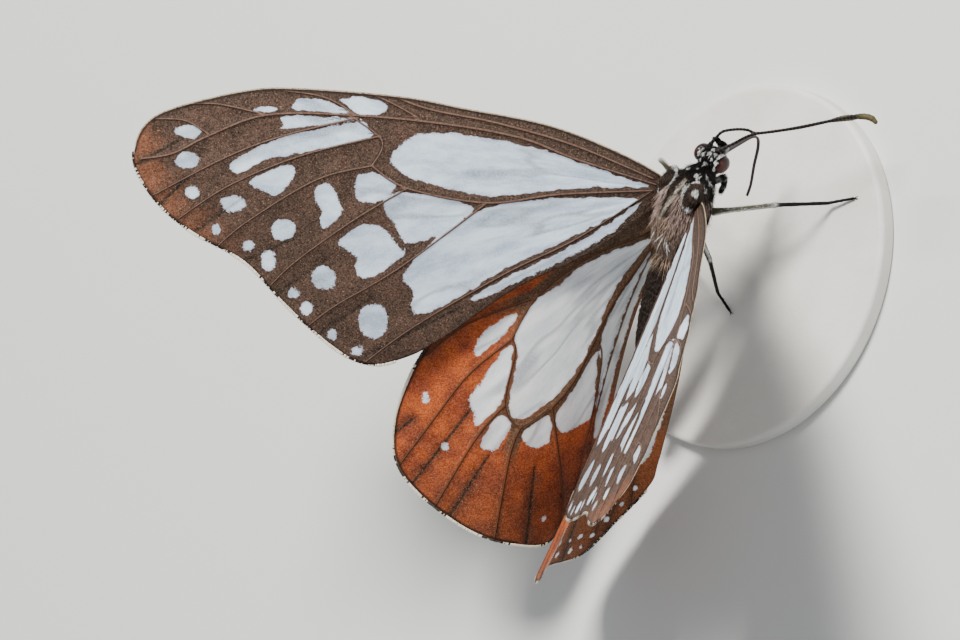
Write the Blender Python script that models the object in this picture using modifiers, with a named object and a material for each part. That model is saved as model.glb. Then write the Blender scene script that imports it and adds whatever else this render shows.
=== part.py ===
"""Chestnut tiger butterfly (Parantica sita), life size, standing with half-open wings on a low base.

Metres, +Z up, head towards +Y, the insect's own right side at +X. Body sizes below are millimetres in
the body frame: its origin is midway between the forewing roots, +Y runs to the head and +Z to the back.
Wing sizes are millimetres in the wing's own flat frame: U from the root to the wing tip, V from the
front edge to the hind edge.
"""
import math

import bmesh
import bpy
import numpy as np
from mathutils import Matrix, Vector
from mathutils.geometry import delaunay_2d_cdt

MM = 0.001
GAP = 0.3
BODY_PITCH = math.radians(4.0)
BASE_TOP = -14.7
NAME = "chestnut_tiger_butterfly"

# Wings
MEMBRANE = 0.5
VEIN_RISE = 0.2
VEIN_HALF_WIDTH = 0.5
OUTLINE_STEP = 2.2
VEIN_STEP = 2.6
FILL_STEP = 3.4
FOREWING_ROOT = (3.0, 0.0, 0.0)
FOREWING_U = (0.598, -0.439, 0.670)
FOREWING_V = (-0.338, -0.897, -0.286)
FOREWING_DROOP = 0.0079  # fall of the front edge, per millimetre ahead of the root-to-tip line, squared
HINDWING_ROOT = (3.0, -2.1, -1.5)
HINDWING_TURN = {-1: (0.062, -0.039, 0.016), 1: (0.103, -0.048, -0.046)}
HINDWING_CURL = {-1: 0.064, 1: 0.0743}  # one over the radius in millimetres at which it wraps downwards
HINDWING_FOLD = (1.191, -9.27)  # direction of the line where the wrap starts, and its distance from the root
HINDWING_PULL = {-1: (-2.7, 0.5, 1.4), 1: (-3.1, 0.6, 1.6)}  # brings the wrapped root back to the thorax
HINDWING_ATTACH = (0.0, 1.0)  # the flat point that joins the thorax
HINDWING_PULL_REACH = {-1: (4.0, 9.0), 1: (4.0, 14.0)}  # how far along U and V the pull fades

FOREWING_OUTLINE = (
    (-1.2, -0.8), (3.4, -3.9), (10.3, -7.1), (18.6, -9.3), (25.1, -10.9), (35.1, -12.3), (40.5, -12.4),
    (47.9, -11.1), (50.8, -9.6), (52.2, -7.3), (52.0, -4.8), (50.0, -1.3), (46.8, 1.8), (41.8, 5.2),
    (37.6, 10.3), (33.3, 14.7), (30.2, 16.5), (26.9, 16.4), (21.4, 13.7), (14.6, 9.5), (6.9, 6.3),
    (0.4, 2.2), (-1.2, 1.4),
)
FOREWING_VEINS = {
    "radius": ((0.0, -0.4), (7.9, -3.5), (13.1, -5.9), (20.2, -7.7), (29.5, -9.2), (38.4, -9.8),
               (44.4, -8.1), (48.0, -6.6), (51.6, -6.6)),
    "radial_branch_1": ((23.4, -8.6), (28.1, -10.8)),
    "radial_branch_2": ((29.5, -9.2), (34.0, -11.2), (40.1, -11.6)),
    "cubitus": ((0.4, 0.2), (9.8, 0.0), (17.0, 0.4), (24.9, -1.6), (28.3, -4.1)),
    "cell_end": ((28.3, -4.1), (27.2, -5.7), (27.4, -7.0), (29.7, -8.9)),
    "median_1": ((29.7, -8.9), (36.7, -7.7), (42.7, -5.9), (50.0, -2.2)),
    "median_2": ((27.4, -7.0), (35.5, -5.5), (42.9, -2.9), (47.8, 0.6)),
    "median_3": ((28.3, -4.1), (34.0, -3.0), (41.3, 0.9), (43.6, 3.0)),
    "cubital_branch_1": ((24.9, -1.6), (30.6, 1.4), (36.8, 5.4), (39.0, 7.7)),
    "cubital_branch_2": ((17.0, 0.4), (26.3, 6.6), (33.0, 10.1), (35.4, 12.0)),
    "anal": ((0.5, 0.3), (8.3, 4.7), (15.6, 7.8), (24.9, 12.6), (30.0, 15.8)),
}
HINDWING_OUTLINE = (
    (-0.9, -0.5), (4.7, 1.0), (9.5, 1.9), (15.2, 3.9), (20.6, 7.6), (24.6, 11.9), (26.9, 15.5), (28.6, 19.6),
    (28.9, 23.8), (27.0, 27.6), (22.4, 32.1), (17.3, 34.9), (12.9, 35.9), (8.9, 32.6), (5.8, 29.2), (4.9, 25.8),
    (4.0, 21.4), (2.8, 16.4), (1.2, 11.0), (-0.2, 6.2), (-0.9, 2.6),
)
HINDWING_VEINS = {
    "radius": ((0.4, 1.8), (2.8, 3.1), (8.0, 4.8), (12.9, 8.0), (15.8, 12.2)),
    "subcosta": ((12.9, 8.0), (20.1, 10.1), (23.9, 12.6)),
    "radial_sector": ((15.8, 12.2), (20.4, 15.4), (24.4, 19.8), (28.2, 24.6)),
    "cell_end": ((15.8, 12.2), (15.6, 13.7), (17.1, 19.1), (15.7, 21.7), (12.3, 20.2)),
    "median_1": ((17.1, 19.1), (20.3, 22.3), (24.9, 29.2)),
    "median_2": ((15.7, 21.7), (17.1, 24.7), (19.3, 33.4)),
    "median_3": ((12.3, 20.2), (12.1, 22.7), (11.4, 32.0), (12.0, 35.9)),
    "cubitus": ((0.6, 2.8), (1.7, 5.7), (4.9, 10.2), (9.4, 17.4), (12.3, 20.2)),
    "cubital_branch": ((6.7, 14.3), (6.6, 18.0), (10.4, 33.4)),
    "anal": ((0.7, 4.5), (3.6, 12.4), (5.8, 18.4), (7.4, 24.0), (7.8, 30.6)),
}

# Body: centre and half sizes of the rounded forms
THORAX = {
    "middle": ((0.0, -1.0, -2.0), (2.55, 4.5, 3.1)),
    "shoulders": ((0.0, 1.3, -1.3), (2.5, 2.6, 2.5)),
    "right_tegula": ((1.9, 1.5, 0.1), (0.95, 1.9, 1.1)),
    "left_tegula": ((-1.9, 1.5, 0.1), (0.95, 1.9, 1.1)),
    "collar": ((0.0, 3.4, -1.8), (1.65, 1.1, 1.5)),
}
HEAD = ((0.0, 5.15, -2.5), (1.3, 1.25, 1.35))
EYE_CENTRE = (1.36, 5.1, -2.5)
EYE_SIZE = (0.72, 0.98, 1.08)
PALP_PATH = ((0.42, 5.95, -3.65), (0.45, 6.55, -3.35), (0.42, 6.95, -2.65), (0.38, 7.05, -2.05))
PALP_RADII = (0.28, 0.36, 0.3, 0.14)
PROBOSCIS_PATH = ((0.0, 5.6, -3.6), (0.0, 6.9, -5.4), (0.0, 7.95, -7.0), (0.0, 7.9, -8.0), (0.0, 6.9, -8.7),
                  (0.0, 5.0, -9.3), (0.0, 2.9, -10.1), (0.0, 1.6, -10.3))
PROBOSCIS_RADII = (0.3, 0.28, 0.27, 0.27, 0.26, 0.25, 0.23, 0.15)
ANTENNA_PATHS = {
    "right": ((0.55, 6.0, -1.9), (1.9, 7.8, -2.5), (2.8, 8.8, -2.4), (4.0, 9.8, -2.2), (6.2, 11.2, -2.2),
              (8.8, 13.0, -2.3), (12.4, 15.7, -2.7), (14.4, 17.0, -2.9), (15.5, 17.4, -3.2), (16.3, 17.2, -3.4)),
    "left": ((-0.55, 6.0, -1.9), (0.0, 7.4, -1.8), (0.3, 8.2, -2.0), (0.8, 8.8, -3.1), (1.3, 9.1, -4.2),
             (2.1, 9.2, -4.8), (3.7, 10.3, -5.4), (5.6, 11.8, -6.6), (8.2, 14.2, -8.3), (9.4, 15.1, -9.3)),
}
ANTENNA_RADII = (0.25, 0.25, 0.25, 0.25, 0.25, 0.25, 0.25, 0.34, 0.42, 0.25)
ABDOMEN_PATH = ((0.0, -5.6, -2.6), (0.0, -9.0, -3.4), (0.0, -14.0, -5.2), (0.0, -19.0, -7.4), (0.0, -23.5, -9.6),
                (0.0, -25.2, -10.5))
ABDOMEN_RADII = (1.25, 1.7, 1.75, 1.55, 1.05, 0.5)
ABDOMEN_RINGS = 8

# Legs: hip and knee in the body frame, then ankle and toe as (x, y, height above the base)
LEG_PATHS = {
    "midleg": {
        "right": ((1.2, -0.2, -4.3), (4.6, 2.8, -9.1), (6.8, 4.6, 1.1), (9.0, 6.4, 0.28)),
        "left": ((-1.2, 0.6, -4.2), (-7.0, 1.6, -3.8), (-9.1, -2.9, 1.2), (-11.0, -4.8, 0.28)),
    },
    "hindleg": {
        "right": ((1.2, -2.6, -4.0), (1.7, -5.1, -6.8), (-0.4, -9.4, 1.2), (1.5, -10.6, 0.28)),
        "left": ((-1.2, -2.6, -4.0), (-3.4, -5.6, -7.4), (-4.9, -8.8, 1.2), (-6.1, -11.4, 0.28)),
    },
}
LEG_RADII = (0.5, 0.42, 0.3, 0.26)
FORELEG_PATH = ((0.75, 2.9, -3.75), (0.95, 3.7, -4.35), (0.8, 2.8, -5.05), (0.65, 1.9, -5.25))
FORELEG_RADII = (0.4, 0.36, 0.28, 0.25)

# Base
BASE_CENTRE_Y = -5.0
BASE_HALF = (17.0, 19.0)
BASE_THICK = 2.0
BASE_EDGE = 0.5

COLOURS = {
    "forewing": ((0.13, 0.08, 0.06), 0.6),
    "hindwing": ((0.36, 0.12, 0.05), 0.6),
    "body": ((0.02, 0.015, 0.012), 0.7),
    "eye": ((0.09, 0.03, 0.02), 0.2),
    "abdomen": ((0.16, 0.07, 0.04), 0.7),
    "leg": ((0.04, 0.03, 0.025), 0.6),
    "antenna": ((0.05, 0.04, 0.03), 0.5),
    "base": ((0.82, 0.81, 0.78), 0.5),
}


def clear_scene():
    for obj in list(bpy.data.objects):
        bpy.data.objects.remove(obj, do_unlink=True)


def collection(name):
    made = bpy.data.collections.new(name)
    bpy.context.scene.collection.children.link(made)
    return made


def material(key):
    found = bpy.data.materials.get(key)
    if found:
        return found
    colour, roughness = COLOURS[key]
    made = bpy.data.materials.new(key)
    made.use_nodes = True
    shader = made.node_tree.nodes["Principled BSDF"]
    shader.inputs["Base Color"].default_value = (*colour, 1.0)
    shader.inputs["Roughness"].default_value = roughness
    made.diffuse_color = (*colour, 1.0)
    return made


def unit(v):
    v = np.asarray(v, float)
    return v / np.linalg.norm(v)


def mirrored(point, side):
    return (point[0] * side, point[1], point[2])


def catmull(points, step, closed):
    """Points about a step apart on a smooth curve through the given ones."""
    p = np.asarray(points, float)
    n = len(p)
    out = []
    for i in range(n if closed else n - 1):
        a, b, c, d = (p[(i + k) % n] if closed else p[min(max(i + k, 0), n - 1)] for k in (-1, 0, 1, 2))
        pieces = max(1, round(np.linalg.norm(c - b) / step))
        for t in np.arange(pieces) / pieces:
            out.append(0.5 * (2 * b + (c - a) * t + (2 * a - 5 * b + 4 * c - d) * t * t
                              + (3 * b - a - 3 * c + d) * t ** 3))
    if not closed:
        out.append(p[-1])
    return np.array(out)


def segment_distance(points, line):
    """Distance of each point to the nearest stretch of a line of points."""
    best = np.full(len(points), 1e9)
    for a, b in zip(line[:-1], line[1:]):
        ab = b - a
        t = np.clip((points - a) @ ab / (ab @ ab), 0.0, 1.0)
        best = np.minimum(best, np.linalg.norm(points - a - t[:, None] * ab, axis=1))
    return best


def inside(points, loop):
    """Whether each point lies within a closed outline, by counting the edges to its right."""
    x, y = points[:, 0], points[:, 1]
    hits = np.zeros(len(points), int)
    for (x0, y0), (x1, y1) in zip(loop, np.roll(loop, -1, axis=0)):
        if y0 == y1:
            continue
        crosses = (y0 > y) != (y1 > y)
        hits += crosses & (x < x0 + (y - y0) * (x1 - x0) / (y1 - y0))
    return hits % 2 == 1


def offset_line(line, distance):
    along = np.gradient(line, axis=0)
    along /= np.linalg.norm(along, axis=1)[:, None]
    return line + distance * np.c_[-along[:, 1], along[:, 0]]


def flat_triangles(outline, veins):
    """Triangles of a flat wing whose edges follow the outline and both flanks of every vein."""
    edge = catmull(outline, OUTLINE_STEP, True)
    rim = np.r_[edge, edge[:1]]
    count = len(edge)
    points, links = [tuple(p) for p in edge], [(i, (i + 1) % count) for i in range(count)]
    lines = [catmull(v, VEIN_STEP, False) for v in veins.values()]
    for line in lines:
        for shift in (0.0, VEIN_HALF_WIDTH, -VEIN_HALF_WIDTH):
            row = line if shift == 0.0 else offset_line(line, shift)
            keep = inside(row, edge) & (segment_distance(row, rim) > 0.35)
            last = None
            for p, kept in zip(row, keep):
                if kept:
                    points.append(tuple(p))
                    if last is not None:
                        links.append((last, len(points) - 1))
                last = len(points) - 1 if kept else None
    low, high = edge.min(axis=0), edge.max(axis=0)
    rows = np.arange(low[1], high[1], FILL_STEP * math.sqrt(0.75))
    grid = np.array([(x + (i % 2) * FILL_STEP / 2, y) for i, y in enumerate(rows)
                     for x in np.arange(low[0], high[0], FILL_STEP)])
    free = inside(grid, edge) & (segment_distance(grid, rim) > 0.4 * FILL_STEP)
    for line in lines:
        free &= segment_distance(grid, line) > 0.45 * FILL_STEP
    points += [tuple(p) for p in grid[free]]
    made = delaunay_2d_cdt([Vector(p) for p in points], links, [], 1, 0.02)
    flat = np.array([tuple(v) for v in made[0]])
    near = np.min([segment_distance(flat, line) for line in lines], axis=0)
    half = MEMBRANE / 2 + VEIN_RISE * np.clip(1 - near / VEIN_HALF_WIDTH, 0, 1)
    return flat, [tuple(f) for f in made[2]], half


def forewing_place(flat, side):
    """The forewing's middle surface: its plane, with the front edge drooping as a parabola."""
    u, v = unit(FOREWING_U), unit(FOREWING_V)
    down = np.cross(u, v)
    droop = FOREWING_DROOP * np.clip(-flat[:, 1], 0, None) ** 2
    placed = np.array(FOREWING_ROOT) + np.outer(flat[:, 0], u) + np.outer(flat[:, 1], v) + np.outer(droop, down)
    return placed * (side, 1, 1)


def hindwing_place(flat, side):
    """The hindwing's middle surface: a plane whose rear part wraps downwards on a cylinder, its root pulled in."""
    turn = Vector(HINDWING_TURN[side])
    spin = np.array(Matrix.Rotation(turn.length, 3, turn)) if turn.length else np.eye(3)
    u, v = spin @ unit(FOREWING_U), spin @ unit(FOREWING_V)
    angle, start = HINDWING_FOLD
    along, across = np.array((math.cos(angle), math.sin(angle))), np.array((-math.sin(angle), math.cos(angle)))
    reach, out = flat @ along, flat @ across
    curl = HINDWING_CURL[side]
    bent = np.clip(out - start, 0, None) * curl
    level = np.minimum(out, start) + np.sin(bent) / curl
    drop = (1 - np.cos(bent)) / curl
    laid = np.outer(reach, along) + np.outer(level, across)
    pull = np.exp(-((flat - HINDWING_ATTACH) / HINDWING_PULL_REACH[side]) ** 2).prod(axis=1)
    placed = (np.array(HINDWING_ROOT) + np.outer(laid[:, 0], u) + np.outer(laid[:, 1], v)
              + np.outer(drop, np.cross(u, v)) + np.outer(pull, HINDWING_PULL[side]))
    return placed * (side, 1, 1)


def surface_normals(flat, place, side):
    step = 0.05
    du = place(flat + (step, 0), side) - place(flat - (step, 0), side)
    dv = place(flat + (0, step), side) - place(flat - (0, step), side)
    normal = np.cross(du, dv)
    return normal / np.linalg.norm(normal, axis=1)[:, None]


def object_from(name, points, faces, key, target):
    mesh = bpy.data.meshes.new(name)
    mesh.from_pydata([tuple(p) for p in points], [], faces)
    mesh.materials.append(material(key))
    obj = bpy.data.objects.new(name, mesh)
    target.objects.link(obj)
    work = bmesh.new()
    work.from_mesh(mesh)
    bmesh.ops.recalc_face_normals(work, faces=work.faces)
    work.to_mesh(mesh)
    work.free()
    return obj


def wing(name, outline, veins, place, side, key, target):
    """A membrane with its veins raised on both faces, split into the same triangles above and below."""
    flat, faces, half = flat_triangles(outline, veins)
    middle, normal = place(flat, side), surface_normals(flat, place, side)
    count = len(flat)
    points = np.r_[middle + normal * half[:, None], middle - normal * half[:, None]]
    sides = {}
    for a, b, c in faces:
        for pair in ((a, b), (b, c), (c, a)):
            sides[pair] = True
    rim = [(a, b) for a, b in sides if (b, a) not in sides]
    skin = [(a, b, c) for a, b, c in faces] + [(c + count, b + count, a + count) for a, b, c in faces]
    skin += [(b, a, a + count) for a, b in rim] + [(b, a + count, b + count) for a, b in rim]
    return object_from(name, points, skin, key, target)


def ellipsoid(name, centre, size, key, target, sides=24, grow=0.0):
    work = bmesh.new()
    bmesh.ops.create_uvsphere(work, u_segments=sides, v_segments=sides // 2, radius=1.0)
    half = [s + grow for s in size]
    bmesh.ops.transform(work, matrix=Matrix.Translation(centre) @ Matrix.Diagonal((*half, 1.0)), verts=work.verts)
    mesh = bpy.data.meshes.new(name)
    work.to_mesh(mesh)
    work.free()
    mesh.materials.append(material(key))
    obj = bpy.data.objects.new(name, mesh)
    target.objects.link(obj)
    return obj


def tube(name, path, radii, key, target, step=0.8, sides=8, flatten=1.0, rings=0, grow=0.0):
    """A tapering tube with round ends along a smooth path, with shallow rings where asked."""
    line = catmull(np.c_[np.asarray(path, float), np.asarray(radii, float)], step, False)
    centre, radius = line[:, :3], line[:, 3] + grow
    if rings:
        phase = np.linspace(0, rings * 2 * math.pi, len(radius))
        radius = radius * (1 + 0.03 * np.cos(phase))
    along = np.gradient(centre, axis=0)
    along /= np.linalg.norm(along, axis=1)[:, None]
    across = np.cross(along, (0.0, 0.31, 1.0))
    across /= np.linalg.norm(across, axis=1)[:, None]
    upward = np.cross(across, along)
    turn = np.arange(sides) * 2 * math.pi / sides
    ring = (np.cos(turn)[None, :, None] * across[:, None] + flatten * np.sin(turn)[None, :, None] * upward[:, None])
    points = [centre[:, None] + radius[:, None, None] * ring]
    ends = []
    for i, sign in ((0, -1), (-1, 1)):
        cap = centre[i] + sign * along[i] * radius[i] * 0.45 + 0.8 * radius[i] * ring[i]
        ends.append(cap)
        ends.append(centre[i] + sign * along[i] * radius[i] * 0.75)
    body = points[0].reshape(-1, 3)
    rows = len(centre)
    every = np.r_[ends[0], body, ends[2], [ends[1], ends[3]]]
    faces = []
    for r in range(rows + 1):
        for k in range(sides):
            a, b = r * sides + k, r * sides + (k + 1) % sides
            faces.append((a, b, b + sides, a + sides))
    first, last = (rows + 2) * sides, (rows + 2) * sides + 1
    for k in range(sides):
        faces.append((first, (k + 1) % sides, k))
        faces.append((last, (rows + 1) * sides + k, (rows + 1) * sides + (k + 1) % sides))
    return object_from(name, every, faces, key, target)


def boolean(obj, others, operation):
    """Joins or cuts with each closed mesh in turn, applies it and removes the others."""
    for other in others:
        cut = obj.modifiers.new(operation.lower(), "BOOLEAN")
        cut.operation = operation
        cut.solver = "MANIFOLD"
        cut.object = other
        graph = bpy.context.evaluated_depsgraph_get()
        made = bpy.data.meshes.new_from_object(obj.evaluated_get(graph))
        obj.modifiers.clear()
        obj.data = made
        bpy.data.objects.remove(other, do_unlink=True)
    return obj


def keep_largest(obj):
    """Leaves only the largest connected surface of a mesh."""
    work = bmesh.new()
    work.from_mesh(obj.data)
    left, groups = set(work.verts), []
    while left:
        queue, group = [left.pop()], []
        while queue:
            vert = queue.pop()
            group.append(vert)
            for edge in vert.link_edges:
                other = edge.other_vert(vert)
                if other in left:
                    left.remove(other)
                    queue.append(other)
        groups.append(group)
    groups.sort(key=len)
    for group in groups[:-1]:
        bmesh.ops.delete(work, geom=group, context="VERTS")
    work.to_mesh(obj.data)
    work.free()
    return obj


def thorax_forms(target, grow=0.0):
    made = [ellipsoid(f"form_{k}", c, s, "body", target, 28, grow) for k, (c, s) in THORAX.items()]
    return boolean(made[0], made[1:], "UNION")


def cleared(obj, cutters):
    """The object cut back by its neighbours, each grown by the gap."""
    return keep_largest(boolean(obj, cutters, "DIFFERENCE"))


def build_body(parts, cutters):
    thorax = thorax_forms(parts)
    thorax.name = "thorax"
    head = ellipsoid("head", *HEAD, "body", parts, 26)
    for word, side in (("left", -1), ("right", 1)):
        ellipsoid(f"eye_{word}", mirrored(EYE_CENTRE, side), EYE_SIZE, "eye", parts, 20)
    eyes = [ellipsoid(f"socket_{s}", mirrored(EYE_CENTRE, s), EYE_SIZE, "eye", cutters, 20, GAP) for s in (-1, 1)]
    cleared(head, [thorax_forms(cutters, GAP), *eyes])
    abdomen = tube("abdomen", ABDOMEN_PATH, ABDOMEN_RADII, "abdomen", parts, 0.6, 20, 0.95, ABDOMEN_RINGS)
    cleared(abdomen, [thorax_forms(cutters, GAP)])


def build_head_parts(parts, cutters):
    def head_cutter():
        return ellipsoid("head_cutter", *HEAD, "body", cutters, 26, GAP)

    for word, side in (("left", -1), ("right", 1)):
        path = [mirrored(p, side) for p in PALP_PATH]
        cleared(tube(f"palp_{word}", path, PALP_RADII, "body", parts, 0.4), [head_cutter()])
        feeler = tube(f"antenna_{word}", ANTENNA_PATHS[word], ANTENNA_RADII, "antenna", parts, 0.9)
        cleared(feeler, [head_cutter()])
    cleared(tube("proboscis", PROBOSCIS_PATH, PROBOSCIS_RADII, "leg", parts, 0.7), [head_cutter()])


def above_base(point):
    """A point given by its height above the base, turned back into the body frame."""
    x, y, lift = point
    return (x, y, (BASE_TOP + GAP + lift - y * math.sin(BODY_PITCH)) / math.cos(BODY_PITCH))


def build_legs(parts, cutters):
    for word, side in (("left", -1), ("right", 1)):
        folded = [mirrored(p, side) for p in FORELEG_PATH]
        cleared(tube(f"foreleg_{word}", folded, FORELEG_RADII, "leg", parts, 0.7), [thorax_forms(cutters, GAP)])
        for kind, paths in LEG_PATHS.items():
            hip, knee, ankle, toe = paths[word]
            points = (hip, knee, above_base(ankle), above_base(toe))
            leg = tube(f"{kind}_{word}", points, LEG_RADII, "leg", parts, 0.8)
            cleared(leg, [thorax_forms(cutters, GAP)])


def build_wings(parts, cutters):
    for word, side in (("left", -1), ("right", 1)):
        fore = wing(f"forewing_{word}", FOREWING_OUTLINE, FOREWING_VEINS, forewing_place, side, "forewing", parts)
        hind = wing(f"hindwing_{word}", HINDWING_OUTLINE, HINDWING_VEINS, hindwing_place, side, "hindwing", parts)
        for obj in (fore, hind):
            cleared(obj, [thorax_forms(cutters, GAP)])


def build_base(parts):
    work = bmesh.new()
    bmesh.ops.create_cone(work, cap_ends=True, segments=64, radius1=1.0, radius2=1.0, depth=BASE_THICK)
    bmesh.ops.scale(work, vec=(*BASE_HALF, 1.0), verts=work.verts)
    mesh = bpy.data.meshes.new("stand_base")
    work.to_mesh(mesh)
    work.free()
    mesh.materials.append(material("base"))
    obj = bpy.data.objects.new("stand_base", mesh)
    parts.objects.link(obj)
    edge = obj.modifiers.new("rim", "BEVEL")
    edge.width = BASE_EDGE
    edge.segments = 2
    edge.limit_method = "ANGLE"
    graph = bpy.context.evaluated_depsgraph_get()
    obj.data = bpy.data.meshes.new_from_object(obj.evaluated_get(graph))
    obj.modifiers.clear()
    obj.data.transform(Matrix.Translation((0, BASE_CENTRE_Y, BASE_TOP - BASE_THICK / 2)))
    return obj


def settle(parts):
    """Pitches the insect on its legs, then sets the whole on the floor, centred, in metres."""
    pitch = Matrix.Rotation(BODY_PITCH, 4, "X")
    for obj in parts.objects:
        if not obj.name.startswith("stand_"):
            obj.data.transform(pitch)
    corners = np.array([v.co for obj in parts.objects for v in obj.data.vertices])
    low, high = corners.min(axis=0), corners.max(axis=0)
    middle = Vector(((low[0] + high[0]) / 2, (low[1] + high[1]) / 2, low[2]))
    for obj in parts.objects:
        obj.data.transform(Matrix.Scale(MM, 4) @ Matrix.Translation(-middle))
        obj.data.shade_smooth()
    print("origin shift in millimetres", tuple(round(v, 3) for v in middle))


def main():
    clear_scene()
    parts, cutters = collection(NAME), collection("cutters")
    build_body(parts, cutters)
    build_head_parts(parts, cutters)
    build_legs(parts, cutters)
    build_wings(parts, cutters)
    build_base(parts)
    settle(parts)
    cutters.hide_render = True


main()
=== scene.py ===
# %% [markdown]
# # A chestnut tiger butterfly, life size
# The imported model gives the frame: where the thorax, wings and legs are, how large they are, and where
# the floor is. Every piece below is a finer surface laid in the place of one of its nodes.

# %% The frame
import math

import bpy
import numpy as np
from mathutils import Matrix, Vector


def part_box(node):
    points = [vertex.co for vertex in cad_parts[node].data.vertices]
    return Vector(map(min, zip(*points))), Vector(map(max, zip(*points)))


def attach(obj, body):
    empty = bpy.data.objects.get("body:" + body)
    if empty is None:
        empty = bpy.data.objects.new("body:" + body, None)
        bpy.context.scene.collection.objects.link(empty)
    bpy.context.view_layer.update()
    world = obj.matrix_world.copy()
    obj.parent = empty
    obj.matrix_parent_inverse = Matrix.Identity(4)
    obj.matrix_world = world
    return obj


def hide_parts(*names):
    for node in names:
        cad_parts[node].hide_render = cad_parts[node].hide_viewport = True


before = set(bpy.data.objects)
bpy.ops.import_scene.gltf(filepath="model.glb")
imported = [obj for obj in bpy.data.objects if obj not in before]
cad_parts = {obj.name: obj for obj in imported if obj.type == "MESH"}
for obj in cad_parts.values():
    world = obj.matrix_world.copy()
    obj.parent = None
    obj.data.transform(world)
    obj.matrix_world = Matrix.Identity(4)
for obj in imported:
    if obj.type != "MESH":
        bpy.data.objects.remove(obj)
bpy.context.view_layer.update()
print("nodes in the frame:", len(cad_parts))

# %% [markdown]
# The insect is described in millimetres in its own body frame: the origin lies midway between the roots
# of the forewings, Y runs to the head and Z to the back. The body stands pitched on its legs, and the
# base below it is level, so the base tells where that frame lies in the model.

# %% Body frame and model frame
MM = 0.001
PITCH = math.radians(4.0)
BASE_TOP = -14.7
BASE_CENTRE_Y = -5.0
base_low, base_high = (np.array(corner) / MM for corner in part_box("stand_base"))
SHIFT = np.array((0.0, (base_low[1] + base_high[1]) / 2 - BASE_CENTRE_Y, base_high[2] - BASE_TOP))
TILT = np.array(((1, 0, 0), (0, math.cos(PITCH), -math.sin(PITCH)), (0, math.sin(PITCH), math.cos(PITCH))))
RNG = np.random.default_rng(20)
SIDES = (("left", -1), ("right", 1))


def in_model(points):
    """Body millimetres to model metres: turned by the pitch about X, then shifted."""
    return (np.asarray(points, float) @ TILT.T + SHIFT) * MM


def unit(v):
    """The vector, or each row of vectors, divided by its length."""
    v = np.asarray(v, float)
    return v / np.maximum(np.linalg.norm(v, axis=-1, keepdims=True), 1e-12)


def ramp(x, low, high):
    """0 below low, 1 above high, and a smooth step 3t² - 2t³ in between."""
    t = np.clip((np.asarray(x, float) - low) / (high - low), 0, 1)
    return t * t * (3 - 2 * t)


print("the body frame's origin in the model, mm:", SHIFT.round(2))

# %% [markdown]
# Colours are written as they look on a screen, from 0 to 255, and the shader wants them linear.

# %% Colours


def screen(red, green, blue):
    """A screen colour as linear light: ((c + 0.055) / 1.055) to the power 2.4."""
    c = np.array((red, green, blue)) / 255
    return tuple(np.where(c > 0.04045, ((c + 0.055) / 1.055) ** 2.4, c / 12.92)) + (1.0,)


print("middle grey on a screen is this much light:", round(screen(128, 128, 128)[0], 3))

# %% [markdown]
# Shader maths is written as Python: a Value wraps one output socket, and adding or multiplying two of
# them adds a Math node. A Paint is a material that adds any node by one method. Its places are in
# millimetres, and its step is 0 below one value, 1 above the other, or the other way round.

# %% Shader maths


class Value:
    """One output socket of a material."""

    def __init__(self, paint, socket):
        self.paint, self.socket = paint, socket

    def math(self, operation, *values, **settings):
        settings["operation"] = operation
        return self.paint.node("ShaderNodeMath", settings, dict(enumerate(values)))

    def __add__(self, other):
        return self.math("ADD", self, other)

    def __mul__(self, other):
        return self.math("MULTIPLY", self, other)

    def __sub__(self, other):
        return self.math("SUBTRACT", self, other)

    def __rsub__(self, other):
        return self.math("SUBTRACT", other, self)

    __radd__, __rmul__ = __add__, __mul__

    def over(self, other):
        return self.math("MAXIMUM", self, other)


class Paint:
    """A material with a Principled shader, and one method that adds any node."""

    def __init__(self, name, **constants):
        self.material = bpy.data.materials.new(name)
        self.material.use_nodes = True
        self.tree = self.material.node_tree
        self.shader = self.tree.nodes["Principled BSDF"]
        for key, value in constants.items():
            self.shader.inputs[key.replace("_", " ")].default_value = value

    def feed(self, socket, value):
        if isinstance(value, Value):
            self.tree.links.new(value.socket, socket)
        else:
            socket.default_value = value

    def node(self, kind, settings=None, values=None, output=0):
        made = self.tree.nodes.new(kind)
        for key, value in (settings or {}).items():
            setattr(made, key, value)
        for key, value in (values or {}).items():
            self.feed(made.inputs[key], value)
        return Value(self, made.outputs[output])

    def field(self, name, output="Fac"):
        """A number stored on the mesh's points."""
        return self.node("ShaderNodeAttribute", {"attribute_name": name}, output=output)

    def place(self, scale=1 / MM):
        """Object coordinates, in millimetres unless scaled otherwise."""
        where = self.node("ShaderNodeTexCoord", output="Object")
        return self.node("ShaderNodeVectorMath", {"operation": "SCALE"}, {0: where, "Scale": scale})

    def noise(self, where, scale, detail=2.0, rough=0.5):
        return self.node("ShaderNodeTexNoise", {}, {"Vector": where, "Scale": scale, "Detail": detail,
                                                    "Roughness": rough})

    def cells(self, where, scale):
        """A random grey for each cell of a Voronoi pattern."""
        colour = self.node("ShaderNodeTexVoronoi", {}, {"Vector": where, "Scale": scale}, "Color")
        return self.node("ShaderNodeSeparateColor", {}, {0: colour})

    def step(self, value, low, high):
        """0 below low, 1 above high, smooth in between."""
        return self.node("ShaderNodeMapRange", {"interpolation_type": "SMOOTHSTEP"},
                         {"Value": value, "From Min": low, "From Max": high})

    def mix(self, factor, first, second):
        return self.node("ShaderNodeMix", {"data_type": "RGBA"}, {0: factor, 6: first, 7: second}, 2)

    def finish(self, colour, roughness, height=None, depth=0.05):
        """Colour, roughness and, where a height from 0 to 1 is given, relief of that depth in millimetres."""
        self.feed(self.shader.inputs["Base Color"], colour)
        self.feed(self.shader.inputs["Roughness"], roughness)
        if height is not None:
            relief = {"Strength": 1.0, "Distance": depth * MM, "Height": height}
            bump = self.node("ShaderNodeBump", {}, relief)
            self.feed(self.shader.inputs["Normal"], bump)
        return self.material


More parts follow.
